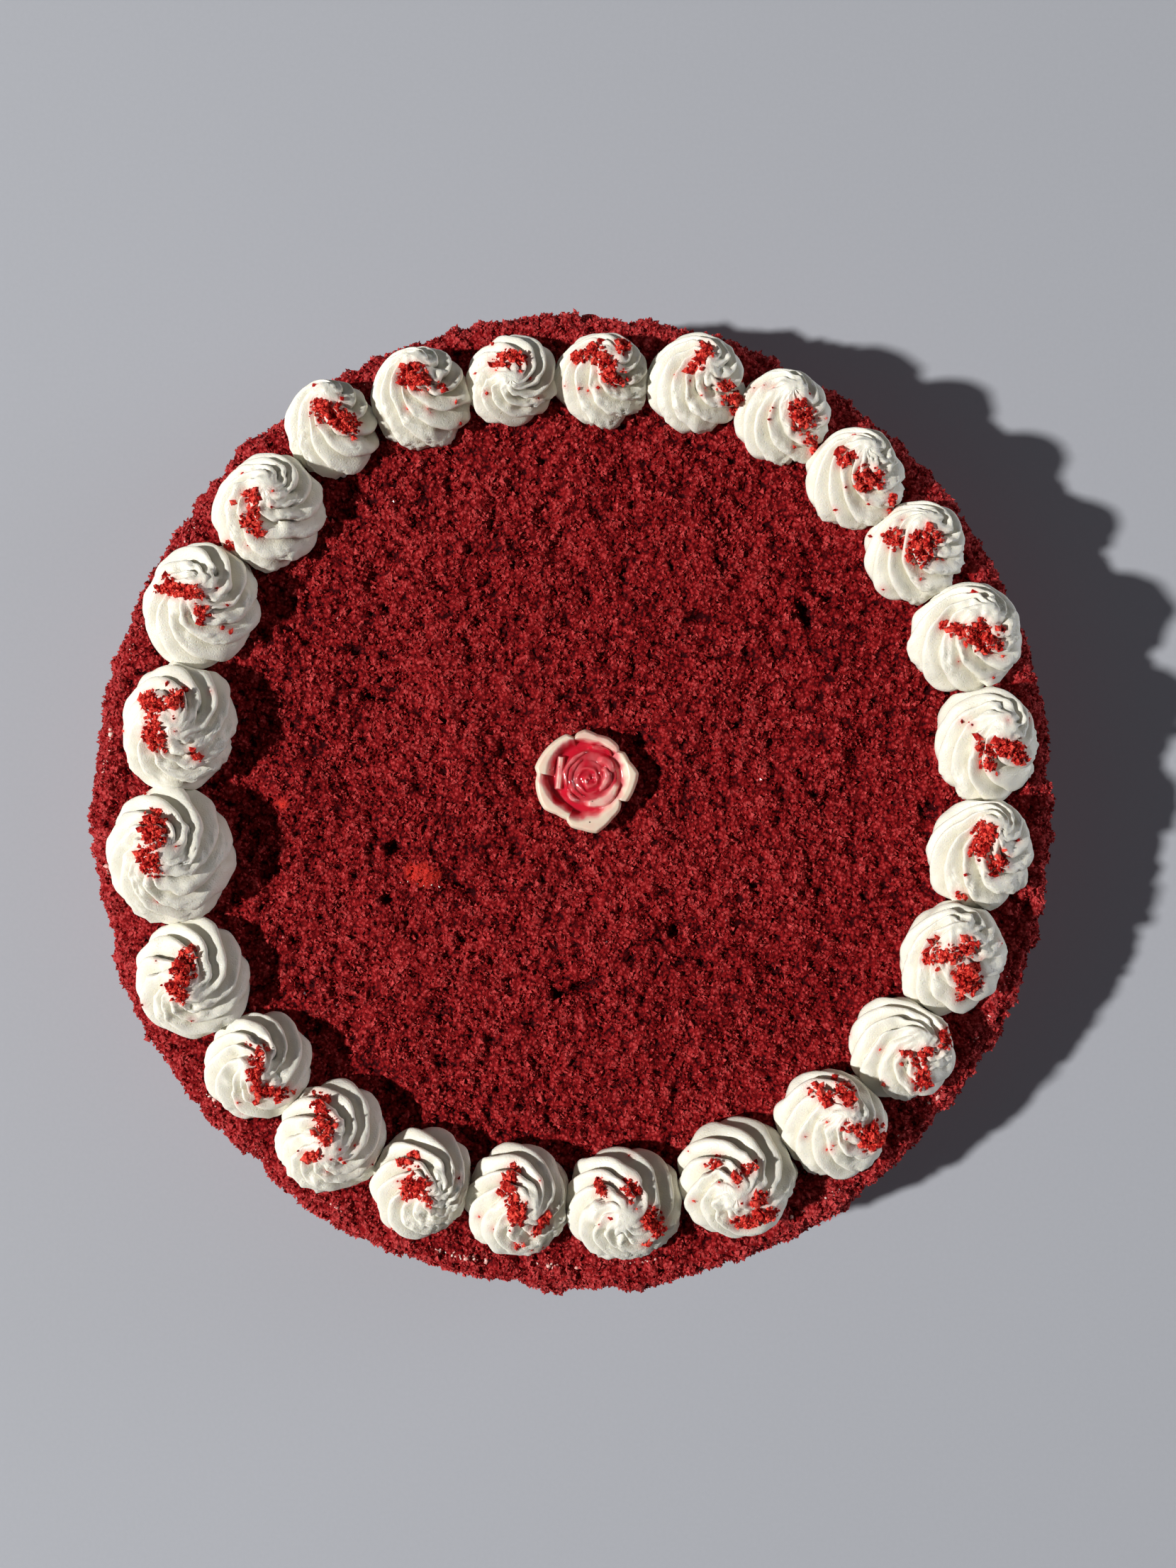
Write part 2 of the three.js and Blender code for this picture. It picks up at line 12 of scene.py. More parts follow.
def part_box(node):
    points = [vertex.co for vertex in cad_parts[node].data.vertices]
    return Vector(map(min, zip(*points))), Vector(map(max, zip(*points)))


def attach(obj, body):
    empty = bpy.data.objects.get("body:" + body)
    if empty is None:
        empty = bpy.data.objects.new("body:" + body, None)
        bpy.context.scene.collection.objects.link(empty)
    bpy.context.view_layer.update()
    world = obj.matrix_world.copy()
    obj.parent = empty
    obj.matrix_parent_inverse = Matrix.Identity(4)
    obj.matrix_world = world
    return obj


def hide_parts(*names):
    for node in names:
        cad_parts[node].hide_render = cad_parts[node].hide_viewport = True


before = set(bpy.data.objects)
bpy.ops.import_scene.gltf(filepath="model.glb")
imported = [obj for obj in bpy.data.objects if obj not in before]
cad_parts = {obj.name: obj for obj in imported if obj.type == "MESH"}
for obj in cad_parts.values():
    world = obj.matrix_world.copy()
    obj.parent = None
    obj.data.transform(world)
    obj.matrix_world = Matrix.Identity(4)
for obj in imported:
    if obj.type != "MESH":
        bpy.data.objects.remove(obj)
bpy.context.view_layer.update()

bl_info = {
    "name": "Red Velvet Cake",
    "version": (1, 0, 0),
    "blender": (4, 5, 0),
    "location": "3D View > Sidebar > Cake",
    "description": "Dresses a round cake with crumbs, piped swirls and a moulded rose",
    "category": "Add Mesh",
}

MM = 0.001
TURN = 2 * math.pi
BODY = "root"

# The ring of swirls, as the solids have it: each swirl's room along the ring, its width across
# the ring, how far it sits outside the ring's line, and how far its peak leans to +X and +Y,
# clockwise from the first.
RING_RADIUS = 111.7
RING_CENTRE = np.array([0.0, 4.0])
FIRST_SWIRL = math.radians(4)
PRESSED = 0.94
SWIRL_HEIGHT = 0.6
RIDGES = 9
TWIST = math.radians(185)
SWIRLS = (
    (25, 25, 0, 2, 4.5), (25, 27, 3, 3, 4), (24, 26, 4, 2, 6), (26, 26, 1.5, 2, 7),
    (25, 28, 1, 1.5, 7.5), (28, 31, 2.5, 2.5, 6), (30, 27.5, 0.5, 2, 5.6), (29, 29, 0, 2.2, 7.8),
    (30, 28.5, 1, -0.8, 9.5), (26, 30, 2, 4.5, 4), (27, 31.5, 3, 2, 5), (31, 32, 2, -1, -2.5),
    (31, 30.5, 1, 0, -0.7), (26.5, 31.5, 1, 3.5, 0.8), (25.5, 30.5, 3, 3.7, 0),
    (27.5, 31, 3, 0.5, -1), (27, 30, 2, 1.5, 0.5), (31, 32, 3.8, 0.5, -2), (36, 34, -1.5, 0.8, 0),
    (34, 31, -3.2, 2, -0.5), (33, 31, 0.8, 1.8, 3.8), (30, 29.5, 0.5, 2, 4.5), (23, 26, 5.5, 0, 9),
    (26, 26.5, 1.8, 0, 8.5), (24, 24.5, 1.2, 0.5, -3),
)
# Crumbs sprinkled on each swirl, in clumps: the middle of each from the swirl's own, its length
# and width, and its direction in degrees.
CLUMPS = (
    ((-4.5, 5, 9, 4, 35), (1.5, 0.5, 10, 5, 135), (5.5, 7, 4.5, 4, 60)),
    ((0.5, 5, 9.5, 4, 60), (9, -4.5, 9, 5, 140)),
    ((4.5, -1.5, 8, 5.5, 148), (8, -7.5, 6, 3, 154)),
    ((2.5, -0.5, 8, 6.5, 10), (-4, 4.5, 5, 3.5, 150), (9.5, -6.5, 4.5, 2, 86)),
    ((0, 1, 9, 8, 15), (-7.5, 3, 5, 3.5, 100)),
    ((2, -0.5, 11, 6.5, 155), (-5.5, 2, 6, 3, 150)),
    ((4.5, -1.5, 11, 5.5, 150), (-2.5, -1, 5, 3.5, 130), (-1, -5, 4, 3.5, 0)),
    ((-2, 4.5, 10, 6.5, 100), (2.5, -1.5, 6, 4.5, 40), (-5.5, -11.5, 2.5, 1.5, 0)),
    ((-3, 3.5, 14, 4.5, 15), (2.5, -3.5, 9, 8, 100), (-7.5, 6, 3, 2, 0), (1.5, -9.5, 2.5, 2, 0)),
    ((4, -0.5, 5.5, 3.5, 60), (4, -7, 7, 4.5, 120), (11, 4.5, 4.5, 4, 110), (-0.5, 1, 3, 2, 0)),
    ((10, -2, 9, 8, 150), (4, 1, 6, 3, 130), (2, 10, 7, 4, 105), (-4.5, 10, 6.5, 3.5, 145)),
    ((4.5, -9, 11.5, 5.5, 20), (4.5, -3.5, 5.5, 4.5, 60), (1, 4, 7, 2.5, 40), (-7, 5.5, 4, 2, 20)),
    ((8, -2.5, 8.5, 5, 126), (2, 6, 5.5, 4, 150), (-6, 6.5, 4.5, 3, 115), (6.5, -8.5, 2.5, 2, 30)),
    ((-2, 7.5, 8, 4.5, 80), (0.5, 0.5, 8, 5.5, 115), (7, -4, 6.5, 3, 75), (0.5, -10, 2.5, 2, 65)),
    ((-1, 1.5, 8, 6, 34), (-2.5, 8, 6, 2.5, 34), (3.5, -2, 3, 1.5, 90)),
    ((-1, 7, 12, 5, 116), (-2.5, -2.5, 4, 2.5, 30)),
    ((2, 2, 9.5, 3.5, 80), (6.5, -6, 7, 3.5, 156), (1.5, -5, 3.5, 2.5, 106)),
    ((0, 4, 9, 5.5, 100), (-0.5, -2, 6.5, 4, 140)),
    ((-1.5, 7, 10, 7, 95), (-1.5, -1, 8, 5.5, 105)),
    ((-4, 6, 9.5, 5, 150), (-3, -2.5, 10, 6.5, 120), (2.5, 7, 6, 4, 98), (7.5, -8, 3.5, 2, 100)),
    ((-2.5, 3.5, 13, 4.5, 160), (-8.5, 4, 5, 2, 20), (2.5, -2.5, 3.5, 3, 130)),
    ((-1.5, -4, 8, 5.5, 80), (-2, 2, 5, 2.5, 158), (-10, -9.5, 3, 2, 160)),
    ((-1, 4, 7, 5, 150), (4.5, 0.5, 8, 6.5, 160)),
    ((-0.5, 3.5, 9, 5.5, 166), (6.5, 1.5, 2.5, 1.5, 127)),
    ((0, 3.5, 9.5, 4.5, 0),),
)
# How a swirl's lean grows with its height, and how far the seams between swirls bow.
LEAN_GROWTH = 2.2
SEAM_BOW = 0.8
SEAM_LENGTH = 9.0
# Where two swirls press together: how far each sinks into the other, how soon they part, and how
# gently they are pressed flat.
SEAM_OVERLAP = 0.8
SEAM_PARTING = 0.02
SEAM_SOFTNESS = 0.3
# The cream is torn most on the side where the nozzle left it.
TORN_SIDE = math.radians(290)
TORN_SHARE = 0.6
# From the foot up: height, radius and how far the ridges have wound.
SWIRL_LEVELS = np.array([
    (0, 0.9, 1.02),
    (0.17, 1, 0.93),
    (0.4, 0.95, 0.81),
    (0.6, 0.81, 0.66),
    (0.77, 0.58, 0.47),
    (0.89, 0.34, 0.27),
    (0.965, 0.15, 0.12),
    (1, 0, 0),
])

# The rose, as its solid has it, and how far it sinks into the crumbs.
ROSE_RADIUS = 14.2
ROSE_HEIGHT = 7.5
ROSE_SUNK = 0.8
# Its outer wall from the foot up: share of the outline, share of the height, and how pink it is.
ROSE_WALL = (
    (0.82, -0.9, 0.3), (0.86, 0, 0.3), (0.93, 0.12, 0.3),
    (0.97, 0.28, 0.1), (1, 0.45, 0.1), (1, 0.6, 0.1),
)
# Each outer petal: its outline and the inner edge of its pale rim as directions in degrees
# anticlockwise of +X and radii, how widely the rim fades into the red, and how pink it is.
OUTER_PETALS = (
    (((-31, 9.6), (-27, 12.4), (-8, 13.2), (9, 14.3), (25, 12.9), (38, 13), (44, 12)),
     ((-31, 10), (-15, 10.6), (5, 11.4), (25, 11.6), (44, 11.2)), 2.6, 0.05),
    (((44, 12.4), (49, 13), (63, 13.4), (77, 13.1), (92, 14.2), (101, 13.6), (107, 12.4)),
     ((44, 10.9), (62, 10.9), (80, 11.2), (107, 11.8)), 0.9, 0.2),
    (((107, 12.7), (113, 14.1), (135, 14.2), (151, 14.4), (165, 14.7), (171, 13.8)),
     ((107, 12.2), (125, 12), (145, 11.8), (171, 11.2)), 2.4, 0.04),
    (((171, 13.7), (180, 14), (203, 14), (213, 13.9), (227, 12.3), (243, 11.8)),
     ((171, 12.6), (185, 12), (205, 11), (225, 10), (243, 9.8)), 1.8, 0.06),
    (((243, 12.2), (251, 13.2), (265, 13.4), (281, 14.4), (287, 13.8), (304, 12.4), (318, 12), (329, 11)),
     ((243, 11.2), (258, 11.2), (275, 10.4), (300, 9.8), (329, 9.8)), 2.8, 0.08),
)
# Inner petals as curved lips: centre x and y, radius, start and sweep in degrees, height as a
# share, half the thickness, and how red the lip is.
INNER_PETALS = (
    (1.2, 1.3, 7.3, 252, 100, 0.86, 1.25, 0.3),
    (1.4, 1.0, 7.1, 95, 108, 0.84, 0.6, 0.72),
    (1.4, 1.0, 7.4, 206, 40, 0.85, 0.65, 0.34),
    (1.3, 1.3, 7.9, 40, 62, 0.82, 0.6, 0.86),
    (1.6, 1.0, 5.5, 12, 66, 0.86, 1.0, 0.66),
    (1.6, 1.0, 3.7, -68, 118, 0.9, 0.85, 0.52),
    (1.1, 1.1, 5.5, 110, 150, 0.8, 0.55, 0.84),
)
# The bud: the middle of its spiral, its reach, and the width of one turn.
BUD = (0.7, 0.5, 4.4, 2.3)
# The two ends of the short straight petal.
BAR_PETAL = ((-6.9, 6.7), (-7.7, -2.0))

# Cracks and pits in the open middle: x, y, length, width and direction in degrees.
HOLLOWS = (
    (1, -50.8, 15.5, 3, 23),
    (-53.8, 29.2, 9.5, 1.6, -2),
    (-51.6, -26.1, 3.6, 3.2, 0),
    (-49, -11.8, 4.4, 3, -50),
    (27.5, -34.6, 4.4, 3.6, 40),
    (63.5, 53, 8.5, 3.4, -75),
)
HOLLOW_DEPTH = 2.4
PORE_DEPTH = 1.0
# Syrup that has soaked the crumbs: x, y, length and width.
WET_SPOTS = (
    (-41.8, -19.2, 10.2, 6.8),
    (-79.7, 0, 3.2, 2.4),
)

# Crumbs on the cream: how many for each square millimetre of a clump's box, the height of a clump,
# and how much brighter than the coat's crumbs they are.
CROWDING = 4.1
CLUMP_PILE = 1.5
ON_CREAM_TINT = (1.75, 1.7, 1.15)
# Clusters of icing glints round the edge, partly pink icing and partly painted highlights: direction in
# degrees, how far inside the edge, reach along the edge, and count.
GLINTS = (
    (172, 2.6, 5, 9), (176, 1.6, 3, 6), (189, 2.4, 4, 8), (205, 2, 3, 4), (219, 3, 4, 8),
    (228, 2, 6, 5), (240, 3, 5, 6), (256, 3, 14, 26), (268, 4, 9, 12), (279, 4, 12, 9),
    (300, 3, 18, 8), (318, 3, 10, 6), (337, 3, 22, 9), (78, 5, 3, 6), (118, 3, 10, 5),
    (128, 2, 8, 5), (146, 2, 9, 7), (152, 2, 4, 6), (160, 3, 6, 6),
)

# Heights from which the coat belongs to the cake's top, and from which it can lie under cream.
TOP_FROM = 38
CREAM_FROM = 40
# Height from which things are let fall on the cake.
ABOVE = 200

CAMERA_PLACE = (4.0, 5.5, 472.5)
CAMERA_LENS = 35.8
# The floor and the place that the lights face, in metres. Each light: direction and height in
# degrees, distance and width in metres, power in watts, and tint.
FLOOR_REACH = 3.0
AIM = Vector((0, 0, 0.03))
LIGHTS = {
    "key_light": (189, 43, 4.5, 0.208, 252, (1, 0.975, 0.93)),
    "fill_light": (15, 5, 2.4, 1.2, 28, (0.95, 0.96, 1)),
}
# Colour and strength of the light from all round, and of what the camera sees behind the cake.
AIR = ((0.86, 0.92, 1, 1), 0.04)
BACKDROP = ((0.4, 0.42, 0.47, 1), 1.0)

MASK = 0xFFFFFFFF
NEAR_CELLS = np.stack(np.meshgrid(*[(-1, 0, 1)] * 3), -1).reshape(-1, 3)
CORNERS = np.stack(np.meshgrid(*[(0, 1)] * 3), -1).reshape(-1, 3)
FOUR_SIDED = (
    np.array([(1, 1, 1), (-1, -1, 1), (-1, 1, -1), (1, -1, -1)]) / math.sqrt(3),
    np.array([(0, 2, 1), (0, 1, 3), (0, 3, 2), (1, 2, 3)]),
)
EIGHT_SIDED = (
    np.array([(1, 0, 0), (0, 1, 0), (-1, 0, 0), (0, -1, 0), (0, 0, 1), (0, 0, -1)]),
    np.array([(k, (k + 1) % 4, 4) for k in range(4)] + [((k + 1) % 4, k, 5) for k in range(4)]),
)


def icosahedron():
    golden = (1 + math.sqrt(5)) / 2
    corners = [
        (-1, golden, 0), (1, golden, 0), (-1, -golden, 0), (1, -golden, 0),
        (0, -1, golden), (0, 1, golden), (0, -1, -golden), (0, 1, -golden),
        (golden, 0, -1), (golden, 0, 1), (-golden, 0, -1), (-golden, 0, 1),
    ]
    faces = [
        (0, 11, 5), (0, 5, 1), (0, 1, 7), (0, 7, 10), (0, 10, 11),
        (1, 5, 9), (5, 11, 4), (11, 10, 2), (10, 7, 6), (7, 1, 8),
        (3, 9, 4), (3, 4, 2), (3, 2, 6), (3, 6, 8), (3, 8, 9),
        (4, 9, 5), (2, 4, 11), (6, 2, 10), (8, 6, 7), (9, 8, 1),
    ]
    return np.array(corners) / math.hypot(1, golden), np.array(faces)


# ---- Numbers that come out the same on every run ----


def draws_from(seed):
    """The run of numbers from 0 to 1 that the solids were drawn with."""
    state = seed

    def draw():
        nonlocal state
        state = (state + 0x6D2B79F5) & MASK
        mixed = ((state ^ (state >> 15)) * (1 | state)) & MASK
        mixed = ((mixed + (((mixed ^ (mixed >> 7)) * (61 | mixed)) & MASK)) & MASK) ^ mixed
        return (mixed ^ (mixed >> 14)) / 4294967296

    return draw


def hashed(cells, seed):
    """A number from 0 to 1 for each whole-number cell."""
    primes = np.array([73856093, 19349663, 83492791])
    mixed = (cells.astype(np.int64) @ primes + seed * 7919) & MASK
    for factor in (0x2C1B3C6D, 0x297A2D39):
        mixed = ((mixed ^ (mixed >> 15)) * factor) & MASK
    return (mixed ^ (mixed >> 15)) / MASK


def waves(points, size, seed):
    """Smooth noise from -1 to 1 whose bumps are about the given size."""
    scaled = points / size
    cell = np.floor(scaled)
    part = scaled - cell
    part = part * part * (3 - 2 * part)
    total = 0
    for corner in CORNERS:
        weight = np.prod(np.where(corner, part, 1 - part), axis=-1)
        total = total + weight * hashed(cell + corner, seed)
    return 2 * total - 1


def clumps(points, size, seed):
    """For each point, how far the nearest clump's middle is, in clump sizes, and that clump's
    own number from 0 to 1."""
    scaled = points / size
    home = np.floor(scaled)
    nearest = np.full(len(points), 9.0)
    own = np.zeros(len(points))
    for near in NEAR_CELLS:
        cell = home + near
        middle = cell + np.stack([hashed(cell, seed + k) for k in range(3)], -1)
        distance = np.linalg.norm(scaled - middle, axis=-1)
        closer = distance < nearest
        nearest[closer] = distance[closer]
        own[closer] = hashed(cell[closer], seed + 3)
    return nearest, own


def mix(low, high, share):
    return low + (high - low) * share


def ways(direction):
    """Along a direction, and across it to the left."""
    east, north = math.cos(direction), math.sin(direction)
    return np.array([east, north]), np.array([-north, east])


def smooth(value, low, high):
    share = np.clip((value - low) / (high - low), 0, 1)
    return share * share * (3 - 2 * share)


def through(knots, values, at):
    """A smooth line through the values given at the knots."""
    slopes = np.gradient(values, knots)
    i = np.clip(np.searchsorted(knots, at) - 1, 0, len(knots) - 2)
    step = knots[i + 1] - knots[i]
    t = (at - knots[i]) / step
    start = values[i] * (1 + 2 * t) + slopes[i] * step * t
    end = values[i + 1] * (3 - 2 * t) + slopes[i + 1] * step * (t - 1)
    return start * (1 - t) ** 2 + end * t * t


# ---- Meshes ----


def new_object(name, data):
    made = bpy.data.objects.new(name, data)
    bpy.context.scene.collection.objects.link(made)
    return made


def make_piece(name, points, faces, slot, material, rounded=False, **masks):
    """A piece that rides on the cake, from points in millimetres. Each mask becomes a named
    attribute that its material reads."""
    mesh = bpy.data.meshes.new(name)
    mesh.from_pydata(points * MM, [], faces)
    mesh.polygons.foreach_set("use_smooth", np.full(len(faces), rounded))
    for mask, values in masks.items():
        attribute = mesh.attributes.new(mask, "FLOAT", "POINT")
        attribute.data.foreach_set("value", np.asarray(values, np.float32))
    mesh.materials.append(material)
    mesh.update()
    piece = new_object(name, mesh)
    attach(piece, BODY)
    return piece


def foot_of(node):
    """The middle of a solid's underside, in millimetres."""
    points = np.array([v.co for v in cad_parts[node].data.vertices]) / MM
    low = points[points[:, 2] < points[:, 2].min() + 0.05]
    aside = low - low.mean(axis=0)
    return low[np.argmin(np.hypot(aside[:, 0], aside[:, 1]))]


def tree_of(points, faces):
    return BVHTree.FromPolygons(points.tolist(), faces.tolist())


def mesh_tree(mesh):
    """A mesh's surface, in millimetres, to find places on."""
    mesh.calc_loop_triangles()
    points = np.array([v.co for v in mesh.vertices]) / MM
    return tree_of(points, np.array([t.vertices for t in mesh.loop_triangles]))


def landed_on(tree, x, y):
    """Where something let fall over x and y lands on a surface, or None."""
    return tree.ray_cast(Vector((x, y, ABOVE)), Vector((0, 0, -1)))[0]


def neighbours_mean(values, links, rounds):
    """The values after each has been averaged with its neighbours a few times."""
    count = len(values)
    ends = np.concatenate([links, links[:, ::-1]])
    near = np.bincount(ends[:, 0], minlength=count)
    for _ in range(rounds):
        total = np.bincount(ends[:, 0], weights=values[ends[:, 1]], minlength=count)
        values = 0.5 * values + 0.5 * total / np.maximum(near, 1)
    return values


def grid_faces(rows, columns):
    """Triangles between rows of points that each go once round, with the last column joined to
    the first. The diagonals alternate."""
    row, column = np.meshgrid(np.arange(rows - 1), np.arange(columns), indexing="ij")
    a = row * columns + column
    b = row * columns + (column + 1) % columns
    c = a + columns
    d = b + columns
    even = ((row + column) % 2 == 0)[..., None]
    first = np.where(even, np.stack([a, b, d], -1), np.stack([a, b, c], -1))
    second = np.where(even, np.stack([a, d, c], -1), np.stack([b, d, c], -1))
    return np.concatenate([first.reshape(-1, 3), second.reshape(-1, 3)])


def closed_rows(rows, columns, top, bottom):
    """A closed body from rows of points, from the bottom up, with one point over the last row
    and one under the first."""
    count = len(rows)
    first = np.arange(columns)
    last = count - columns + first
    faces = np.concatenate([
        grid_faces(count // columns, columns),
        np.stack([np.full(columns, count), last, np.roll(last, -1)], -1),
        np.stack([np.full(columns, count + 1), np.roll(first, -1), first], -1),
    ])
    return np.concatenate([rows, [top, bottom]]), faces


def grains(places, sizes, form, draw, flat=0.85, uneven=0.2):
    """One mesh of many small broken grains, with the number of its grain for each corner."""
    corners, faces = form
    count = len(places)
    shape = corners * draw.uniform(0.65, 1.25, (count, len(corners), 1))
    shape = shape * draw.uniform(1 - uneven, 1 + uneven, (count, 1, 3))
    turn = draw.normal(size=(count, 4))
    turn /= np.linalg.norm(turn, axis=1, keepdims=True)
    shape = turned(shape, turn)
    shape[..., 2] *= flat
    points = places[:, None] + shape * sizes[:, None, None]
    steps = (np.arange(count) * len(corners))[:, None, None]
    grain = np.repeat(np.arange(count), len(corners))
    return points.reshape(-1, 3), (faces + steps).reshape(-1, 3), grain


def sizes_near(draw, usual, spread, least, most, count=None):
    """Sizes drawn round the usual one."""
    return np.clip(draw.lognormal(math.log(usual), spread, count), least, most)


def turned(shape, turn):
    """Each grain's corners turned by its own quaternion."""
    w, x, y, z = turn.T[:, :, None]
    px, py, pz = shape[..., 0], shape[..., 1], shape[..., 2]
    cx = 2 * (y * pz - z * py)
    cy = 2 * (z * px - x * pz)
    cz = 2 * (x * py - y * px)
    return np.stack([
        px + w * cx + y * cz - z * cy,
        py + w * cy + z * cx - x * cz,
        pz + w * cz + x * cy - y * cx,
    ], -1)


def spots_on(points, faces, weight, count, draw):
    """Random places on a mesh and their outward directions, more of them where the weight is
    higher."""
    a, b, c = (points[faces[:, k]] for k in range(3))
    across = np.cross(b - a, c - a)
    area = np.linalg.norm(across, axis=1)
    chance = area * weight[faces].mean(axis=1)
    chosen = draw.choice(len(faces), count, p=chance / chance.sum())
    u, v = draw.random((2, count, 1))
    over = u + v > 1
    u, v = np.where(over, 1 - u, u), np.where(over, 1 - v, v)
    place = a[chosen] + u * (b - a)[chosen] + v * (c - a)[chosen]
    outward = (across / np.maximum(area, 1e-9)[:, None])[chosen]
    return place, outward, chosen


# ---- Shaders ----


def plug(tree, sockets, values):
    """Set each of the sockets to its value, or link it to an output."""
    for key, value in values.items():
        if isinstance(value, bpy.types.NodeSocket):
            tree.links.new(value, sockets[key])
        else:
            sockets[key].default_value = value


def add(tree, kind, values=(), **settings):
    """A shader node with its settings and inputs."""
    made = tree.nodes.new("ShaderNode" + kind)
    for key, value in settings.items():
        setattr(made, key, value)
    plug(tree, made.inputs, dict(values))
    return made


def blend(tree, share, low, high):
    """A mix of two colours."""
    return add(tree, "Mix", {0: share, 6: low, 7: high}, data_type="RGBA").outputs[2]


def maths(tree, operation, *values):
    return add(tree, "Math", dict(enumerate(values)), operation=operation).outputs[0]


def ranged(tree, value, low, high, to_low=0.0, to_high=1.0):
    """A value carried from one range to another."""
    return add(tree, "MapRange", {0: value, 1: low, 2: high, 3: to_low, 4: to_high}).outputs[0]


def mask_of(tree, name):
    return add(tree, "Attribute", attribute_name=name).outputs["Fac"]


def fineness(tree, size_mm):
    """A texture's scale, from the size of its bumps."""
    return maths(tree, "DIVIDE", 1000.0, size_mm)


def new_group(name, inputs, outputs):
    """An empty node group with named sockets, and its two end nodes' sockets."""
    group = bpy.data.node_groups.new(name, "ShaderNodeTree")
    for socket, value in inputs.items():
        kind = "Color" if isinstance(value, tuple) else "Float"
        made = group.interface.new_socket(socket, in_out="INPUT", socket_type="NodeSocket" + kind)
        made.default_value = value
    for socket, kind in outputs.items():
        group.interface.new_socket(socket, in_out="OUTPUT", socket_type="NodeSocket" + kind)
    start = group.nodes.new("NodeGroupInput")
    end = group.nodes.new("NodeGroupOutput")
    return group, start.outputs, end.inputs


def put_group(tree, group, values):
    return add(tree, "Group", values, node_tree=group).outputs


def sponge_grain():
    """Shared by all the crumbs: the red of the sponge, with painted shade in the gaps and pores between
    grains and painted highlight on the grain tops, and the grain's own fine pores."""
    name = "Sponge grain"
    if name in bpy.data.node_groups:
        return bpy.data.node_groups[name]
    tree, start, end = new_group(name, {
        "Tone": 0.5,
        "Gap shade": (0.03, 0.001, 0.003, 1),
        "Middle": (0.2, 0.01, 0.01, 1),
        "Bright": (0.4, 0.03, 0.03, 1),
        "Pore size": 0.5,
        "Grain size": 1.1,
    }, {"Colour": "Color", "Height": "Float"})
    place = add(tree, "TexCoord").outputs["Object"]
    pores = add(tree, "TexNoise", {
        "Vector": place, "Scale": fineness(tree, start["Pore size"]), "Detail": 3.0, "Roughness": 0.65,
    }).outputs["Fac"]
    cells = add(tree, "TexVoronoi", {
        "Vector": place, "Scale": fineness(tree, start["Grain size"]),
    }).outputs["Distance"]
    grain = ranged(tree, cells, 0.25, 0.75, 1.0, 0.0)
    height = maths(tree, "ADD", maths(tree, "MULTIPLY", grain, 0.7), pores)
    # Painted shade and highlight: the tone drops in the gaps and pores and rises on the grain tops.
    tone = maths(tree, "ADD", start["Tone"], ranged(tree, height, 0.35, 1.35, -0.42, 0.34))
    lower = blend(tree, ranged(tree, tone, 0.0, 0.5), start["Gap shade"], start["Middle"])
    colour = blend(tree, ranged(tree, tone, 0.5, 1.0), lower, start["Bright"])
    plug(tree, end, {"Colour": colour, "Height": height})
    return tree


def fine_bubbles():
    """Shared by the cream and the rose: small round pits, and a mottle for colour and gloss."""
    name = "Fine bubbles"
    if name in bpy.data.node_groups:
        return bpy.data.node_groups[name]
    tree, start, end = new_group(
        name, {"Bubble size": 1.0, "Mottle size": 6.0}, {"Height": "Float", "Mottle": "Float"},
    )
    place = add(tree, "TexCoord").outputs["Object"]
    bubbles = add(tree, "TexVoronoi", {"Vector": place, "Scale": fineness(tree, start["Bubble size"])})
    pits = ranged(tree, bubbles.outputs["Distance"], 0.08, 0.3)
    grain = add(tree, "TexNoise", {
        "Vector": place, "Scale": maths(tree, "DIVIDE", 2200.0, start["Bubble size"]), "Detail": 3.0,
    }).outputs["Fac"]
    mottle = add(tree, "TexNoise", {
        "Vector": place, "Scale": fineness(tree, start["Mottle size"]), "Detail": 2.0,
    }).outputs["Fac"]
    plug(tree, end, {
        "Height": maths(tree, "ADD", maths(tree, "MULTIPLY", pits, 0.5), grain), "Mottle": mottle,
    })
    return tree


def new_material(name):
    """A material with its tree and its Principled shader's inputs."""
    made = bpy.data.materials.new(name)
    made.use_nodes = True
    tree = made.node_tree
    tree.nodes.clear()
    shader = tree.nodes.new("ShaderNodeBsdfPrincipled")
    output = tree.nodes.new("ShaderNodeOutputMaterial")
    tree.links.new(shader.outputs[0], output.inputs[0])
    return made, tree, shader.inputs


def bump(tree, height, depth_mm, strength):
    made = add(tree, "Bump", {"Height": height, "Distance": depth_mm * MM, "Strength": strength})
    return made.outputs[0]


def crumb_material(name, tint=(1, 1, 1)):
    finish = bpy.context.scene.cake_finish
    made, tree, shader = new_material(name)
    # The darkest red is painted shade for the gaps; the brightest is partly painted highlight on raised
    # grains.
    gap_shade, middle, bright_and_highlight = (
        [c * share for c, share in zip(colour, tint)] + [1]
        for colour in (finish.crumb_gap_shade, finish.crumb_red, finish.crumb_bright_and_highlight)
    )
    grain = put_group(tree, sponge_grain(), {
        "Tone": mask_of(tree, "tone"), "Gap shade": gap_shade, "Middle": middle, "Bright": bright_and_highlight,
        "Pore size": 0.5, "Grain size": 1.05,
    })
    wet = mask_of(tree, "wet")
    dry = ranged(tree, grain["Height"], 0.5, 1.3, 0.75, 0.42)
    plug(tree, shader, {
        "Base Color": blend(tree, wet, grain["Colour"], finish.syrup_red),
        "Roughness": add(tree, "Mix", {0: wet, 2: dry, 3: 0.2}).outputs[0],
        "Specular IOR Level": 0.06,
        "Coat Weight": maths(tree, "MULTIPLY", mask_of(tree, "gleam"), 0.5),
        "Coat Roughness": 0.2,
        "Normal": bump(tree, grain["Height"], 0.4, 0.9),
    })
    return made


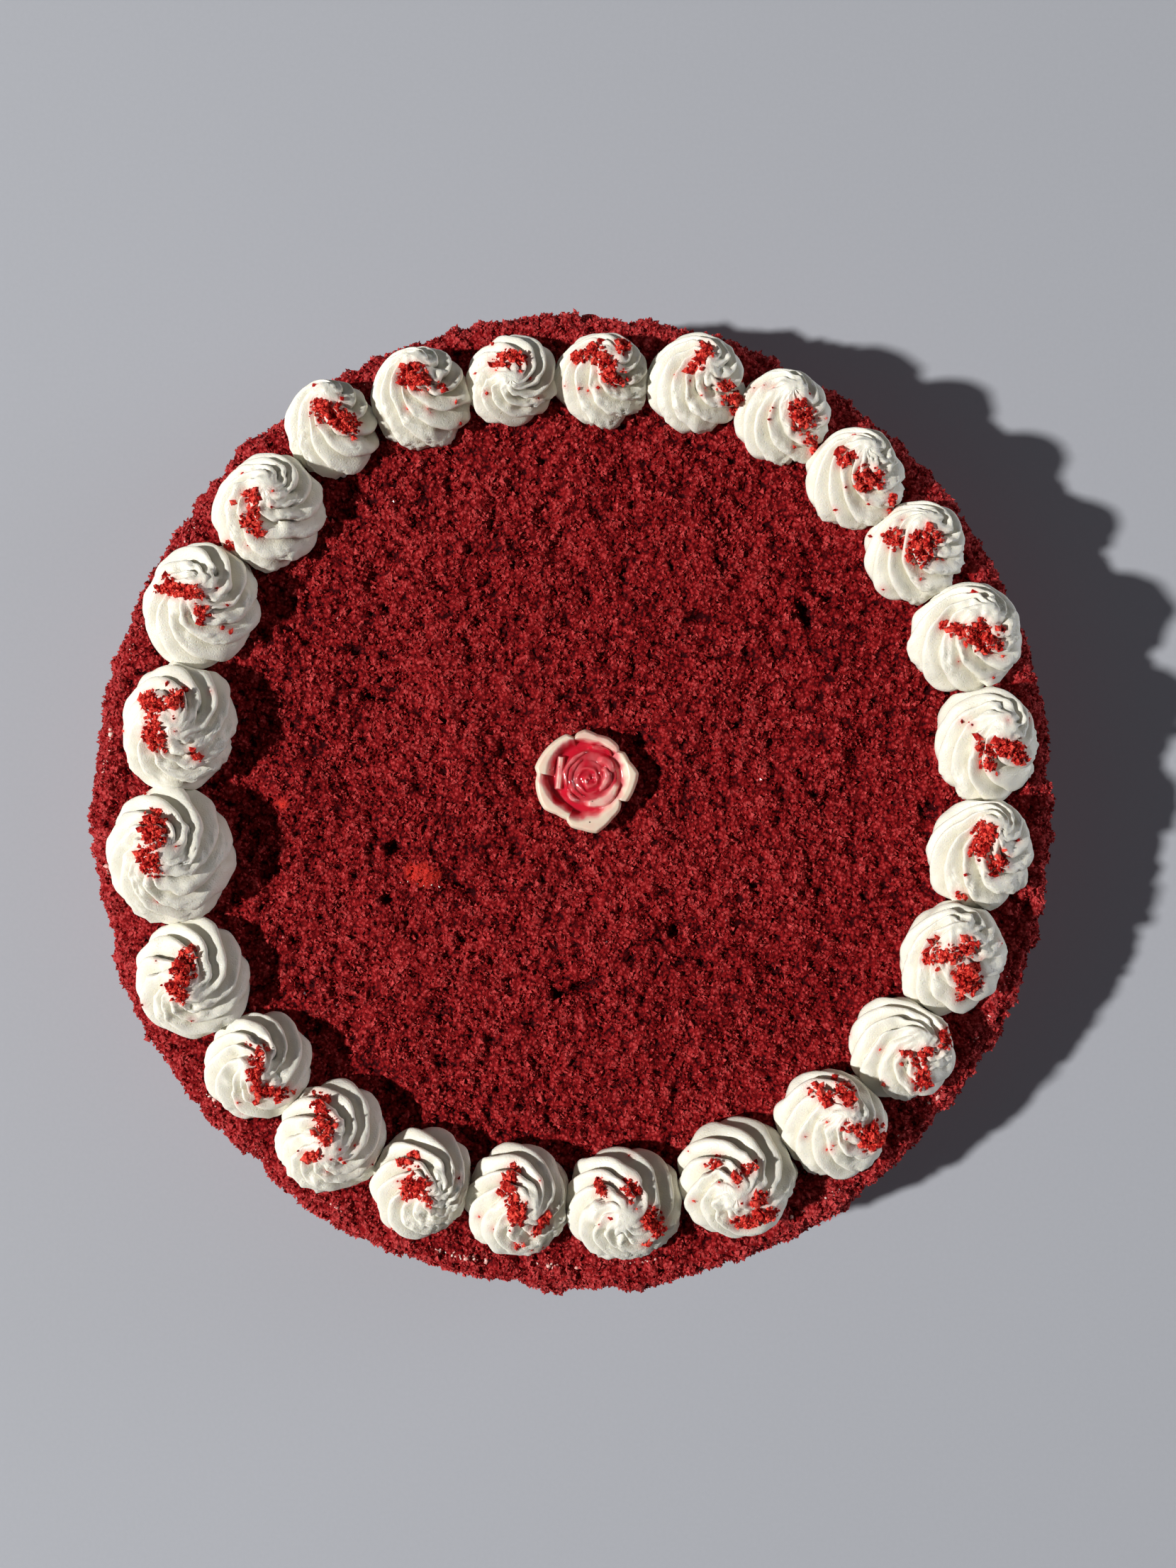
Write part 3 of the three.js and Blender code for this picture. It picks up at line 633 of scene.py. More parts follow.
def cream_material():
    finish = bpy.context.scene.cake_finish
    made, tree, shader = new_material("piped_cream")
    bubbles = put_group(tree, fine_bubbles(), {"Bubble size": 0.9, "Mottle size": 5.0})
    # Painted shade: the cream is darkened between the ridges; random patches of the same colour are mottle.
    valley = maths(tree, "MULTIPLY", mask_of(tree, "valley"), 0.9)
    shaded = blend(tree, valley, finish.cream_white, finish.cream_shade_and_mottle)
    patches = ranged(tree, bubbles["Mottle"], 0.4, 0.7, 0, 0.25)
    mottled = blend(tree, patches, shaded, finish.cream_shade_and_mottle)
    plug(tree, shader, {
        "Base Color": blend(tree, mask_of(tree, "stain"), mottled, finish.cream_stain),
        "Roughness": ranged(tree, bubbles["Mottle"], 0.3, 0.7, 0.34, 0.5),
        "Subsurface Weight": 0.3,
        "Subsurface Radius": (1.0, 0.85, 0.6),
        "Subsurface Scale": 0.9 * MM,
        "Normal": bump(tree, bubbles["Height"], 0.2, 0.6),
    })
    return made


def rose_material():
    finish = bpy.context.scene.cake_finish
    made, tree, shader = new_material("moulded_sugar")
    bubbles = put_group(tree, fine_bubbles(), {"Bubble size": 1.6, "Mottle size": 3.0})
    uneven = ranged(tree, bubbles["Mottle"], 0.3, 0.7, -0.07, 0.07)
    blush = maths(tree, "ADD", mask_of(tree, "blush"), uneven)
    pale = blend(tree, ranged(tree, blush, 0.05, 0.5), finish.rose_pale, finish.rose_pink)
    colour = blend(tree, ranged(tree, blush, 0.45, 0.95), pale, finish.rose_red)
    specks = add(tree, "TexVoronoi", {
        "Vector": add(tree, "TexCoord").outputs["Object"], "Scale": 1 / (2.6 * MM),
    }).outputs
    dot = ranged(tree, specks["Distance"], 0.07, 0.11, 0.9, 0.0)
    own = add(tree, "SeparateColor", {0: specks["Color"]}).outputs[0]
    speckled = maths(tree, "MULTIPLY", dot, ranged(tree, own, 0.5, 0.52))
    plug(tree, shader, {
        "Base Color": blend(tree, speckled, colour, finish.rose_speck),
        "Roughness": ranged(tree, blush, 0.2, 0.7, 0.36, 0.12),
        "Subsurface Weight": 0.6,
        "Subsurface Radius": (1.0, 0.5, 0.4),
        "Subsurface Scale": 2.2 * MM,
        "Coat Weight": ranged(tree, blush, 0.35, 0.7, 0.0, 0.8),
        "Coat Roughness": 0.06,
        "Normal": bump(tree, bubbles["Mottle"], 0.2, 0.35),
    })
    return made


def glint_material():
    finish = bpy.context.scene.cake_finish
    made, tree, shader = new_material("icing_glint")
    # Pink icing at low tone; the whiter, glossier drops are painted highlights.
    tone = mask_of(tree, "tone")
    plug(tree, shader, {
        "Base Color": blend(tree, tone, finish.cream_stain, finish.cream_white),
        "Roughness": ranged(tree, tone, 0, 1, 0.25, 0.08),
    })
    return made


# ---- The crumbed cake ----


def coat_form(size):
    """Points of the cake's plain form: rings over the top, the rounded edge and the side, with
    the outward direction at each."""
    low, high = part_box("cake")
    half = np.array([(high.x - low.x) / 2, (high.y - low.y) / 2]) / MM - size.side_relief / MM
    top = foot_of("rose")[2] - size.gap / MM
    rounding = size.rim_rounding / MM
    points = [np.array([[0, 0, top]])]
    outward = [np.array([[0, 0, 1.0]])]
    for ring in range(1, size.top_rings + 1):
        angle = np.arange(6 * ring) / (6 * ring) * TURN
        reach = (half - rounding) * ring / size.top_rings
        flat = [reach[0] * np.cos(angle), reach[1] * np.sin(angle), np.full(6 * ring, top)]
        points.append(np.stack(flat, -1))
        outward.append(np.tile([0, 0, 1.0], (6 * ring, 1)))
    columns = 6 * size.top_rings
    angle = np.arange(columns) / columns * TURN
    around = np.stack([np.cos(angle), np.sin(angle), 0 * angle], -1)
    spacing = TURN * half[0] / columns
    bends = max(3, round(rounding * math.pi / 2 / spacing))
    levels = round((top - rounding) / spacing)
    tilts = [bend / bends * math.pi / 2 for bend in range(1, bends + 1)]
    rows = [(rounding * math.sin(tilt), rounding * math.cos(tilt), tilt) for tilt in tilts]
    rows += [(rounding, (top - rounding) * -level / levels, math.pi / 2) for level in range(1, levels + 1)]
    for out, up, tilt in rows:
        points.append(around * [*(half - rounding + out), 0] + [0, 0, top - rounding + up])
        outward.append(around * math.sin(tilt) + [0, 0, math.cos(tilt)])
    return np.concatenate(points), np.concatenate(outward), columns, len(rows) + 1


def coat_faces(size, columns, rings):
    """Six wedges of triangles over the top, then a band for each ring of the side."""
    starts = np.cumsum([0, 1] + [6 * ring for ring in range(1, size.top_rings + 1)])
    faces = []
    for ring in range(1, size.top_rings + 1):
        wedge, i = (grid.ravel() for grid in np.meshgrid(np.arange(6), np.arange(ring), indexing="ij"))
        inner, inner_after, outer, after = (
            starts[k] + (wedge * k + i + step) % max(1, 6 * k) for k in (ring - 1, ring) for step in (0, 1)
        )
        faces.append(np.stack([inner, outer, after], -1))
        inside = i < ring - 1
        faces.append(np.stack([inner, after, inner_after], -1)[inside])
    faces.append(grid_faces(rings, columns)[:, ::-1] + starts[size.top_rings])
    return np.concatenate(faces)


def solid_offset(points, outward):
    """How far the solid's surface lies outside the plain form at each point."""
    tree = mesh_tree(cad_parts["cake"].data)
    reach = 12.0
    offset = np.zeros(len(points))
    for i, (point, direction) in enumerate(zip(points, outward)):
        start = point + direction * reach
        start[2] = max(start[2], 0.4)
        hit = tree.ray_cast(Vector(start), Vector(-direction), 2 * reach)
        if hit[3] is not None:
            offset[i] = reach - hit[3]
    return offset


def shift():
    """How far the whole model was moved sideways to stand over the origin."""
    first = swirl_places()[0]
    return foot_of("swirl_01")[:2] - (RING_CENTRE + first["radius"] * ways(first["angle"])[0])


def from_segment(points, x, y, length, direction):
    """Distance from a straight line of the given length, turned in the given direction."""
    along, aside = ways(direction)
    relative = points[:, :2] - [x, y]
    beyond = np.maximum(np.abs(relative @ along) - length / 2, 0)
    return np.hypot(beyond, relative @ aside)


def wet_mask(points, moved):
    """Where syrup has soaked the crumbs."""
    wet = np.zeros(len(points))
    for x, y, length, width in WET_SPOTS:
        reach = np.hypot((points[:, 0] - x - moved[0]) / length, (points[:, 1] - y - moved[1]) / width) * 2
        ragged = reach + 0.35 * waves(points, 1.6, 301)
        wet = np.maximum(wet, 1 - smooth(ragged, 0.75, 1.1))
    return wet


def coat_relief(points, outward, size, moved):
    """The crumbs' own relief on the cake, in millimetres outward, and the tone of each point, which holds
    painted shade low in the gaps, pits and cracks and painted highlight on raised lumps.
    """
    large, large_own = clumps(points, size.clump_size / MM, 11)
    small, small_own = clumps(points, size.lump_size / MM, 21)
    tiny = waves(points, 1.3, 31)
    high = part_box("cake")[1]
    aside = np.hypot(points[:, 0] * MM / high.x, points[:, 1] * MM / high.y)
    at_edge = smooth(aside, 0.9, 0.97)
    # Clumps and lumps of crumbs, with finer and wider unevenness.
    mounds = 1 - np.clip(large * 1.1, 0, 1) ** 2
    lumps = 1 - np.clip(small * 1.1, 0, 1) ** 2
    relief = size.clump_height / MM * (1 + 0.4 * at_edge) * (mounds - 0.55 + 0.5 * (large_own - 0.5))
    relief += size.lump_height / MM * (lumps - 0.5 + 0.6 * (small_own - 0.5))
    relief += 0.25 * tiny + 0.85 * waves(points, 9, 33) + 0.45 * waves(points, 4.2, 35)
    # Small round pits all over, then the cracks and pits that have places of their own.
    pores, pores_own = clumps(points, 6.0, 41)
    pores = pores + 0.1 * waves(points, 1.7, 43) + 0.12 * pores_own
    pit = 1 - smooth(pores, 0.12, 0.3)
    relief -= PORE_DEPTH * pit
    for x, y, length, width, degrees in HOLLOWS:
        wander = 0.5 * waves(points, 2.4, 51)
        distance = from_segment(points, x + moved[0], y + moved[1], length - width, math.radians(degrees))
        hollow = (1 - smooth(distance + wander, 0.25 * width, 0.75 * width)) * (outward[:, 2] > 0.9)
        relief -= HOLLOW_DEPTH * hollow
        pit = np.maximum(pit, hollow)
    # Tone: painted shade and highlight from the lumps and mounds, random variation, and lighter towards the
    # edge.
    tone = 0.36 + 0.5 * (lumps - 0.5) + 0.2 * (mounds - 0.5) + 0.2 * (small_own - 0.5) + 0.1 * tiny
    tone += 0.2 * at_edge + 0.06 * waves(points, 22, 45)
    # The pits and cracks are darkened as painted shade.
    return relief, tone - 0.4 * pit, pit


def crumb_coat(size):
    """The cake's body as a crumbed surface over its solid. Returns what the loose crumbs need."""
    points, outward, columns, rings = coat_form(size)
    faces = coat_faces(size, columns, rings)
    moved = shift()
    links = np.concatenate([faces[:, [0, 1]], faces[:, [1, 2]], faces[:, [2, 0]]])
    offset = neighbours_mean(solid_offset(points, outward), links, 2)
    relief, tone, pit = coat_relief(points, outward, size, moved)
    wet = wet_mask(points, moved)
    relief = mix(relief, neighbours_mean(relief, links, 1) + 0.3, wet)
    covered = under_cream(points)
    relief = np.where(covered, np.minimum(relief, 0), relief)
    jitter = np.stack([waves(points, 0.7, seed) for seed in (61, 62, 63)], -1) * 0.42
    on_floor = points[:, 2] < 0.01
    jitter[on_floor] = 0
    placed = points + outward * (offset + relief)[:, None] + jitter
    placed[:, 2] = np.maximum(placed[:, 2], 0)
    placed[on_floor, 2] = 0
    middle = len(placed)
    last = middle - columns + np.arange(columns)
    floor_faces = np.stack([np.full(columns, middle), np.roll(last, -1), last], -1)
    whole = np.concatenate([placed, [[0, 0, 0]]])
    piece = make_piece(
        "crumb_coat", whole, np.concatenate([faces, floor_faces]), "crumb",
        crumb_material("red_crumb"), rounded=True, tone=np.append(tone, 0.3), wet=np.append(wet, 0),
        gleam=np.zeros(len(whole)),
    )
    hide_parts("cake")
    bare = np.maximum.reduce([covered, 0.5 * wet, 0.9 * pit])
    return {"points": placed, "faces": faces, "tone": tone, "wet": wet, "bare": bare}


def under_cream(points):
    """Whether each point on the top is well under a swirl or the rose."""
    discs = [(foot_of(place["name"]), 0.42 * place["across"]) for place in swirl_places()]
    discs.append((foot_of("rose"), 0.85 * ROSE_RADIUS))
    covered = np.zeros(len(points), bool)
    for foot, radius in discs:
        covered |= np.hypot(points[:, 0] - foot[0], points[:, 1] - foot[1]) < radius
    return covered & (points[:, 2] > CREAM_FROM)


def loose_crumbs(name, coat, chosen, count, seed, size):
    """Single crumbs that lie on the coat."""
    draw = np.random.default_rng(seed)
    points, faces = coat["points"], coat["faces"]
    crowd = smooth(waves(points, 2.3, seed), -0.5, 0.5)
    raised = smooth(coat["tone"], 0.15, 0.5)
    weight = (0.3 + crowd) * (0.15 + raised) * chosen * (1 - coat["bare"])
    place, outward, on_face = spots_on(points, faces, weight, count, draw)
    sizes = sizes_near(draw, size.crumb_size / MM / 2, 0.25, 0.25, 1.1, count)
    place = place + outward * (sizes * draw.uniform(-0.15, 0.6, count))[:, None]
    made, grain_faces, grain = grains(place, sizes, FOUR_SIDED, draw)
    made[:, 2] = np.maximum(made[:, 2], 0)
    # Each crumb's own random tone plus the coat's tone under it, painted shade and highlight included.
    own = draw.uniform(-0.26, 0.26, count)
    tone = 0.6 + own + 0.9 * (coat["tone"][faces[on_face]].mean(axis=1) - 0.35)
    gleam = (sizes < 0.55) & (draw.random(count) < 0.12)
    wet = coat["wet"][faces[on_face]].mean(axis=1)
    material = bpy.data.materials.get("red_crumb") or crumb_material("red_crumb")
    make_piece(
        name, made, grain_faces, "crumb", material, tone=tone[grain], wet=wet[grain], gleam=gleam[grain],
    )


# ---- The cream swirls ----


def swirl_places():
    """Where each swirl stands, from the room that it takes along the ring."""
    whole = sum(row[0] for row in SWIRLS)
    angle = math.pi / 2 - FIRST_SWIRL + SWIRLS[0][0] / 2 / whole * TURN
    places = []
    for number, (room, across, out, east, north) in enumerate(SWIRLS, 1):
        half = room / 2 / whole * TURN
        angle -= half
        places.append({
            "name": f"swirl_{number:02d}", "number": number, "angle": angle, "half": half,
            "radius": RING_RADIUS + out, "along": room / PRESSED, "across": across,
            "lean": np.array([east, north]),
        })
        angle -= half
    return places


def seam_at(number, across):
    """How far the seam after a swirl bows out of its plane, at each distance across the ring."""
    side = 1 if hashed(np.array([number % len(SWIRLS), 0, 0]), 95) > 0.5 else -1
    return side * SEAM_BOW * (1 - (across / SEAM_LENGTH) ** 2)


def beyond_seam(x, y, place, side):
    """How far points round a swirl's foot lie beyond the seam on one side, and the way there."""
    plane = place["angle"] + side * place["half"]
    along, left = ways(plane)
    outward = left * side
    across = x * along[0] + y * along[1]
    bow = seam_at(place["number"] - (side > 0), across) * -side
    neighbour = SWIRLS[(place["number"] - 1 - side) % len(SWIRLS)]
    middle = (RING_RADIUS + neighbour[2] - place["radius"]) / 2
    room = place["radius"] * math.sin(place["half"]) + SEAM_OVERLAP + SEAM_PARTING * (across - middle) ** 2
    return x * outward[0] + y * outward[1] - room - bow, outward


def kept_apart(x, y, place):
    """A swirl's points pressed back to the seams halfway to its neighbours."""
    for side in (-1, 1):
        beyond, outward = beyond_seam(x, y, place, side)
        back = SEAM_SOFTNESS * np.logaddexp(0, beyond / SEAM_SOFTNESS)
        x = x - back * outward[0]
        y = y - back * outward[1]
    return x, y


def even_shares(width, height, rows):
    """Shares of the height that put rows evenly along a swirl's profile."""
    share = np.linspace(0, 1, 400)
    reach = through(SWIRL_LEVELS[:, 0], SWIRL_LEVELS[:, 1], share) * width
    steps = np.hypot(np.diff(reach), np.diff(share) * height)
    length = np.concatenate([[0], np.cumsum(steps)])
    return np.interp(np.linspace(0, length[-1], rows + 1)[:-1], length, share)


def swirl_surface(place, size):
    """One piped swirl round its own foot: points, faces and a mask of how far down between the ridges each
    point lies, for painted shade.
    """
    draw = draws_from(100 + place["number"])
    height = 0.5 * (place["along"] + place["across"]) * SWIRL_HEIGHT * mix(0.93, 1.07, draw())
    phase = draw() * TURN
    ridge_sizes = np.array([mix(-1, 1, draw()) for _ in range(RIDGES)])
    columns = RIDGES * size.ridge_columns
    shares = even_shares(place["across"] / 2, height, size.swirl_rows)
    reach, wound = (through(SWIRL_LEVELS[:, 0], SWIRL_LEVELS[:, k], shares) for k in (1, 2))
    around = np.arange(columns) / columns
    angle = phase + around[None] * TURN + TWIST * wound[:, None]
    facing = angle - place["angle"]
    half = 0.5 * np.hypot(place["across"] * np.cos(facing), place["along"] * np.sin(facing))
    radius = half * reach[:, None]
    # Straight out of the profile at each row: so much outward, and so much up.
    rise = np.gradient(shares * height)
    spread = np.gradient(reach * place["across"] / 2)
    steep = np.hypot(rise, spread)
    out, up = (rise / steep)[:, None], (-spread / steep)[:, None]
    # Each swirl takes its noise from another height, so that no two come out alike.
    x, y = radius * np.cos(angle), radius * np.sin(angle)
    flat = np.stack([x, y, shares[:, None] * height + 0 * angle], -1).reshape(-1, 3)
    flat = flat + [0, 0, 37.0 * place["number"]]

    def ripple(bumps, seed):
        return waves(flat, bumps, seed).reshape(angle.shape)

    # Neighbours fill each other's valleys where they press together.
    pressed = np.maximum(*[smooth(beyond_seam(x, y, place, side)[0], -2.4, 0) for side in (-1, 1)])
    # Ridges that waver, each with one flank steeper than the other.
    near_top = smooth(shares, 0.6, 0.95)[:, None]
    waver = size.ridge_waver * ripple(6.5, 71) * (1 + near_top) + 0.5 * ripple(2.6, 72) * near_top
    position = around[None] * RIDGES + 0.5 + waver
    part = np.mod(position, 1)
    crest = np.sin(math.pi * part ** size.ridge_skew) ** size.ridge_fullness
    ridge = np.floor(position).astype(int) % RIDGES
    low_down = smooth(shares, 0.0, 0.3)[:, None]
    near_peak = smooth(reach, 0.14, 0.56)[:, None]
    filled = smooth(ripple(9.0, 83), -0.75, 0.25)
    depth = size.valley_depth / MM * mix(0.8, 1, low_down) * mix(0.55, 1.1, filled) * near_peak
    depth = depth * mix(1, 0.2, pressed)
    proud = depth * (crest - 1) + 0.45 * ridge_sizes[ridge] * crest * near_peak
    # Torn cream and wide unevenness, then the folds of the peak.
    torn = smooth(ripple(8.0, 73) + TORN_SHARE * np.cos(angle - TORN_SIDE), 0.1, 0.8)
    proud = proud + (0.3 * ripple(3.1, 75) + 0.7 * ripple(8.5, 85)) * near_peak
    proud = proud + (0.06 + size.torn_height / MM * torn * crest) * ripple(0.95, 77)
    lumpy = smooth(shares, 0.6, 0.9)[:, None] * smooth(reach, 0.0, 0.15)[:, None]
    folds = 1 - 3 * np.abs(ripple(5.0, 87))
    rough = mix(0.25, 1, hashed(np.array([place["number"], 0, 0]), 97))
    lumpy = lumpy * rough
    proud = proud + (0.7 * ripple(3.0, 81) + 0.35 * ripple(1.3, 82) + 0.7 * np.maximum(folds, -0.4)) * lumpy
    radius = np.maximum(radius + proud * out, 0.05)
    z = shares[:, None] * height + proud * up
    z = z - size.swirl_sunk / MM * (1 - smooth(shares, 0, 0.17))[:, None]
    lean = shares[:, None] ** LEAN_GROWTH
    x = radius * np.cos(angle) + place["lean"][0] * lean
    y = radius * np.sin(angle) + place["lean"][1] * lean
    x, y = kept_apart(x, y, place)
    rows = np.stack([x, y, z], -1).reshape(-1, 3)
    peak = rows[-columns:].mean(axis=0) + [0, 0, 0.3]
    foot = [0, 0, rows[:columns, 2].min()]
    # Painted shade mask: highest down between the ridges, fading out near the peak.
    valley = np.append(smooth(1 - crest, 0.2, 0.95) * near_peak, [0, 0])
    return *closed_rows(rows, columns, peak, foot), valley


def crumb_spots(place, draw):
    """Middles of the crumbs sprinkled on one swirl, round its foot, and how far each may be
    lifted by those under it."""
    spots, lifts = [], []
    for east, north, length, width, degrees in CLUMPS[place["number"] - 1]:
        lane, aside = ways(math.radians(degrees))
        count = round(CROWDING * length * width)
        heaps = 3 + round(length / 2)
        along = np.linspace(-0.5, 0.5, heaps) * (length - 0.6 * width)
        off = draw.uniform(-0.28, 0.28, heaps) * width
        radius = draw.uniform(0.24, 0.46, heaps) * width + 0.3
        heap = draw.integers(0, heaps, count)
        far = np.sqrt(draw.random(count))
        turn = draw.random(count) * TURN
        forward = along[heap] + far * radius[heap] * np.cos(turn)
        sideways = off[heap] + far * radius[heap] * np.sin(turn)
        spots.append(np.array([east, north]) + forward[:, None] * lane + sideways[:, None] * aside)
        lifts.append((1 - far) * CLUMP_PILE)
    singles = 9
    spots.append(draw.normal(0, 1, (singles, 2)) * 0.22 * place["across"])
    lifts.append(np.zeros(singles))
    return np.concatenate(spots), np.concatenate(lifts)


def pipe_swirls(size):
    """All the swirls, each in place of its solid, and the crumbs sprinkled on them."""
    material = cream_material()
    tops = []
    for place in swirl_places():
        points, faces, valley = swirl_surface(place, size)
        foot = foot_of(place["name"])
        tops.append((place, points + foot, faces, valley, foot))
    draw = np.random.default_rng(5)
    places, sizes = [], []
    for place, points, faces, _, foot in tops:
        tree = tree_of(points, faces)
        for spot, pile in zip(*crumb_spots(place, draw)):
            landed = landed_on(tree, *(foot[:2] + spot))
            grain = sizes_near(draw, 0.47, 0.48, 0.18, 1.3)
            lift = draw.uniform(0, pile + 0.3)
            if landed is not None:
                places.append(np.array(landed) + [0, 0, lift])
                sizes.append(grain)
    places, sizes = np.array(places), np.array(sizes)
    made, grain_faces, grain = grains(places, sizes, EIGHT_SIDED, draw, uneven=0.5)
    own = draw.uniform(0.42, 0.95, len(places))
    make_piece(
        "swirl_crumbs", made, grain_faces, "crumb", crumb_material("crumb_on_cream", ON_CREAM_TINT),
        tone=own[grain], wet=np.zeros(len(grain)), gleam=np.zeros(len(grain)),
    )
    for place, points, faces, valley, _ in tops:
        near = places[np.hypot(*(places - points[-2])[:, :2].T) < place["across"]]
        stain = stain_of(points, near)
        piece = make_piece(
            "cream_" + place["name"], points, faces, "cream", material, rounded=True,
            valley=valley, stain=stain,
        )
        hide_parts(place["name"])


def stain_of(points, crumbs):
    """How pink the cream is, from how near the crumbs are."""
    if not len(crumbs):
        return np.zeros(len(points))
    nearest = np.full(len(points), 99.0)
    for start in range(0, len(points), 2000):
        part = points[start:start + 2000]
        distance = np.linalg.norm(part[:, None] - crumbs[None], axis=-1)
        nearest[start:start + 2000] = distance.min(axis=1)
    return 0.6 * np.exp(-(nearest / 1.3) ** 2)


# ---- The rose ----


def rose_rim(angle):
    """In each direction: the rose's outline, the inner edge of its pale rim, how widely the rim
    fades, how pink it is, and the share along its petal."""
    first = OUTER_PETALS[0][0][0][0]
    degrees = np.mod(np.degrees(angle) - first, 360) + first
    outline, inner, fade, pink, part = (np.zeros(angle.shape) for _ in range(5))
    for outer_knots, inner_knots, width, pinkness in OUTER_PETALS:
        outer_knots, inner_knots = np.array(outer_knots), np.array(inner_knots)
        start, end = outer_knots[0, 0], outer_knots[-1, 0]
        inside = (degrees >= start) & (degrees <= end)
        outline[inside] = np.interp(degrees, *outer_knots.T)[inside]
        inner[inside] = np.interp(degrees, *inner_knots.T)[inside]
        part[inside] = ((degrees - start) / (end - start))[inside]
        fade[inside] = width
        pink[inside] = pinkness
    return outline, inner, fade, pink, part


def rose_height(x, y):
    """The rose's height as a share, and how red it is, at each place from its middle."""
    place = np.stack([x, y, 0 * x], -1)
    smear = 0.55 * waves(place, 2.6, 111) + 0.3 * waves(place, 1.1, 112)
    distance = np.hypot(x, y)
    outline, inner, fade, pink, part = rose_rim(np.arctan2(y, x))
    # The outer petals: a pale raised rim round a red hollow.
    rise = smooth(distance, inner - fade, inner + 0.4)
    floor = 0.46 + 0.24 * smooth(np.hypot(x - 1, y - 1), 9.4, 6.6)
    height = floor + (0.84 - floor + 0.06 * (1 - part)) * rise
    height -= 0.16 * smooth(distance / outline, 0.92, 1) ** 1.5
    reddening = 1 - smooth(distance + smear * np.minimum(fade, 1.6), inner - fade, inner + 0.3 * fade)
    blush = mix(pink, 0.97, reddening)
    inside = smooth(distance, 9.6, 8.6)
    blush = mix(blush, 0.86 + 0.14 * smear, smooth(np.hypot(x - 1, y - 1), 7.6, 6.2))
    # The inner petals, as curved lips.
    for cx, cy, radius, start, sweep, top, half, red in INNER_PETALS:
        dx, dy = x - cx, y - cy
        turn = np.mod(np.degrees(np.arctan2(dy, dx)) - start, 360)
        along = np.clip(turn / sweep, 0, 1)
        width = half * (0.35 + 0.65 * np.sin(math.pi * along) ** 0.6)
        ends = smooth(turn, 0, 16) * (1 - smooth(turn, sweep - 16, sweep))
        bent = radius + 0.35 * np.sin(math.pi * along) - 0.2 + 0.5 * smear
        aside = np.abs(np.hypot(dx, dy) - bent) / width
        lip = (1 - smooth(aside, 0.4, 1.6)) * ends
        height = np.maximum(height, mix(floor, top, lip))
        blush = mix(blush, red + 0.22 * smear, (1 - smooth(aside, 0.55, 1.45)) * ends)
    # The short straight petal.
    (ax, ay), (bx, by) = BAR_PETAL
    length = math.hypot(bx - ax, by - ay)
    forward = ((x - ax) * (bx - ax) + (y - ay) * (by - ay)) / length
    aside = np.abs((x - ax) * (by - ay) - (y - ay) * (bx - ax)) / length
    long = smooth(forward, -0.4, 0.2) * (1 - smooth(forward, length - 0.2, length + 0.4))
    height = np.maximum(height, mix(floor, 0.76, (1 - smooth(aside, 0.4, 1.4)) * long))
    blush = mix(blush, 0.4 + 0.25 * smear, (1 - smooth(aside, 0.5, 1.3)) * long)
    # The bud, wound as a spiral.
    bud_x, bud_y, reach, turn_width = BUD
    dx, dy = (x - bud_x) * 1.12, (y - bud_y) * 0.95
    from_bud = np.hypot(dx, dy)
    wound = 0.5 + 0.5 * np.cos(TURN * from_bud / turn_width - np.arctan2(dy, dx) + 3.5 * smear)
    in_bud = 1 - smooth(from_bud, 0.62 * reach, reach)
    mound = 0.74 * (1 - smooth(from_bud, reach, 2 * reach))
    height = np.maximum(height, mound + 0.1 * wound * in_bud) + 0.012 * smear * inside
    blush = mix(blush, 0.98 - 0.16 * wound ** 2, in_bud * (blush > 0.6))
    return height, np.clip(blush, 0, 1)


def mould_rose(size):
    """The rose in place of its solid: rings of its wall from the foot up, then of its top."""
    columns, rows = size.rose_columns, size.rose_rows
    angle = np.arange(columns) / columns * TURN
    outline = rose_rim(angle)[0]
    outline = 0.5 * outline + 0.25 * (np.roll(outline, 1) + np.roll(outline, -1))
    foot = foot_of("rose")
    rings, blushes = [], []

    def add_ring(share, height, blush):
        x, y = share * outline * np.cos(angle), share * outline * np.sin(angle)
        if height is None:
            height, blush = rose_height(x, y)
        rings.append(np.stack([x, y, height * ROSE_HEIGHT + 0 * x], -1))
        blushes.append(blush + 0 * x)

    for share, height, blush in ROSE_WALL:
        add_ring(share, height, blush)
    for row in range(rows, 0, -1):
        add_ring(row / rows * 0.985, None, None)
    height, blush = rose_height(np.zeros(1), np.zeros(1))
    top, bottom = [0, 0, height[0] * ROSE_HEIGHT], [0, 0, -ROSE_HEIGHT]
    points, faces = closed_rows(np.concatenate(rings), columns, top, bottom)
    points[:, 2] = np.maximum(points[:, 2], -ROSE_SUNK)
    blush = np.concatenate([*blushes, blush, [0.3]])
    piece = make_piece(
        "sugar_rose", points + foot, faces, "rose", rose_material(), rounded=True, blush=blush,
    )
    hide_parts("rose")


# ---- Icing glints ----


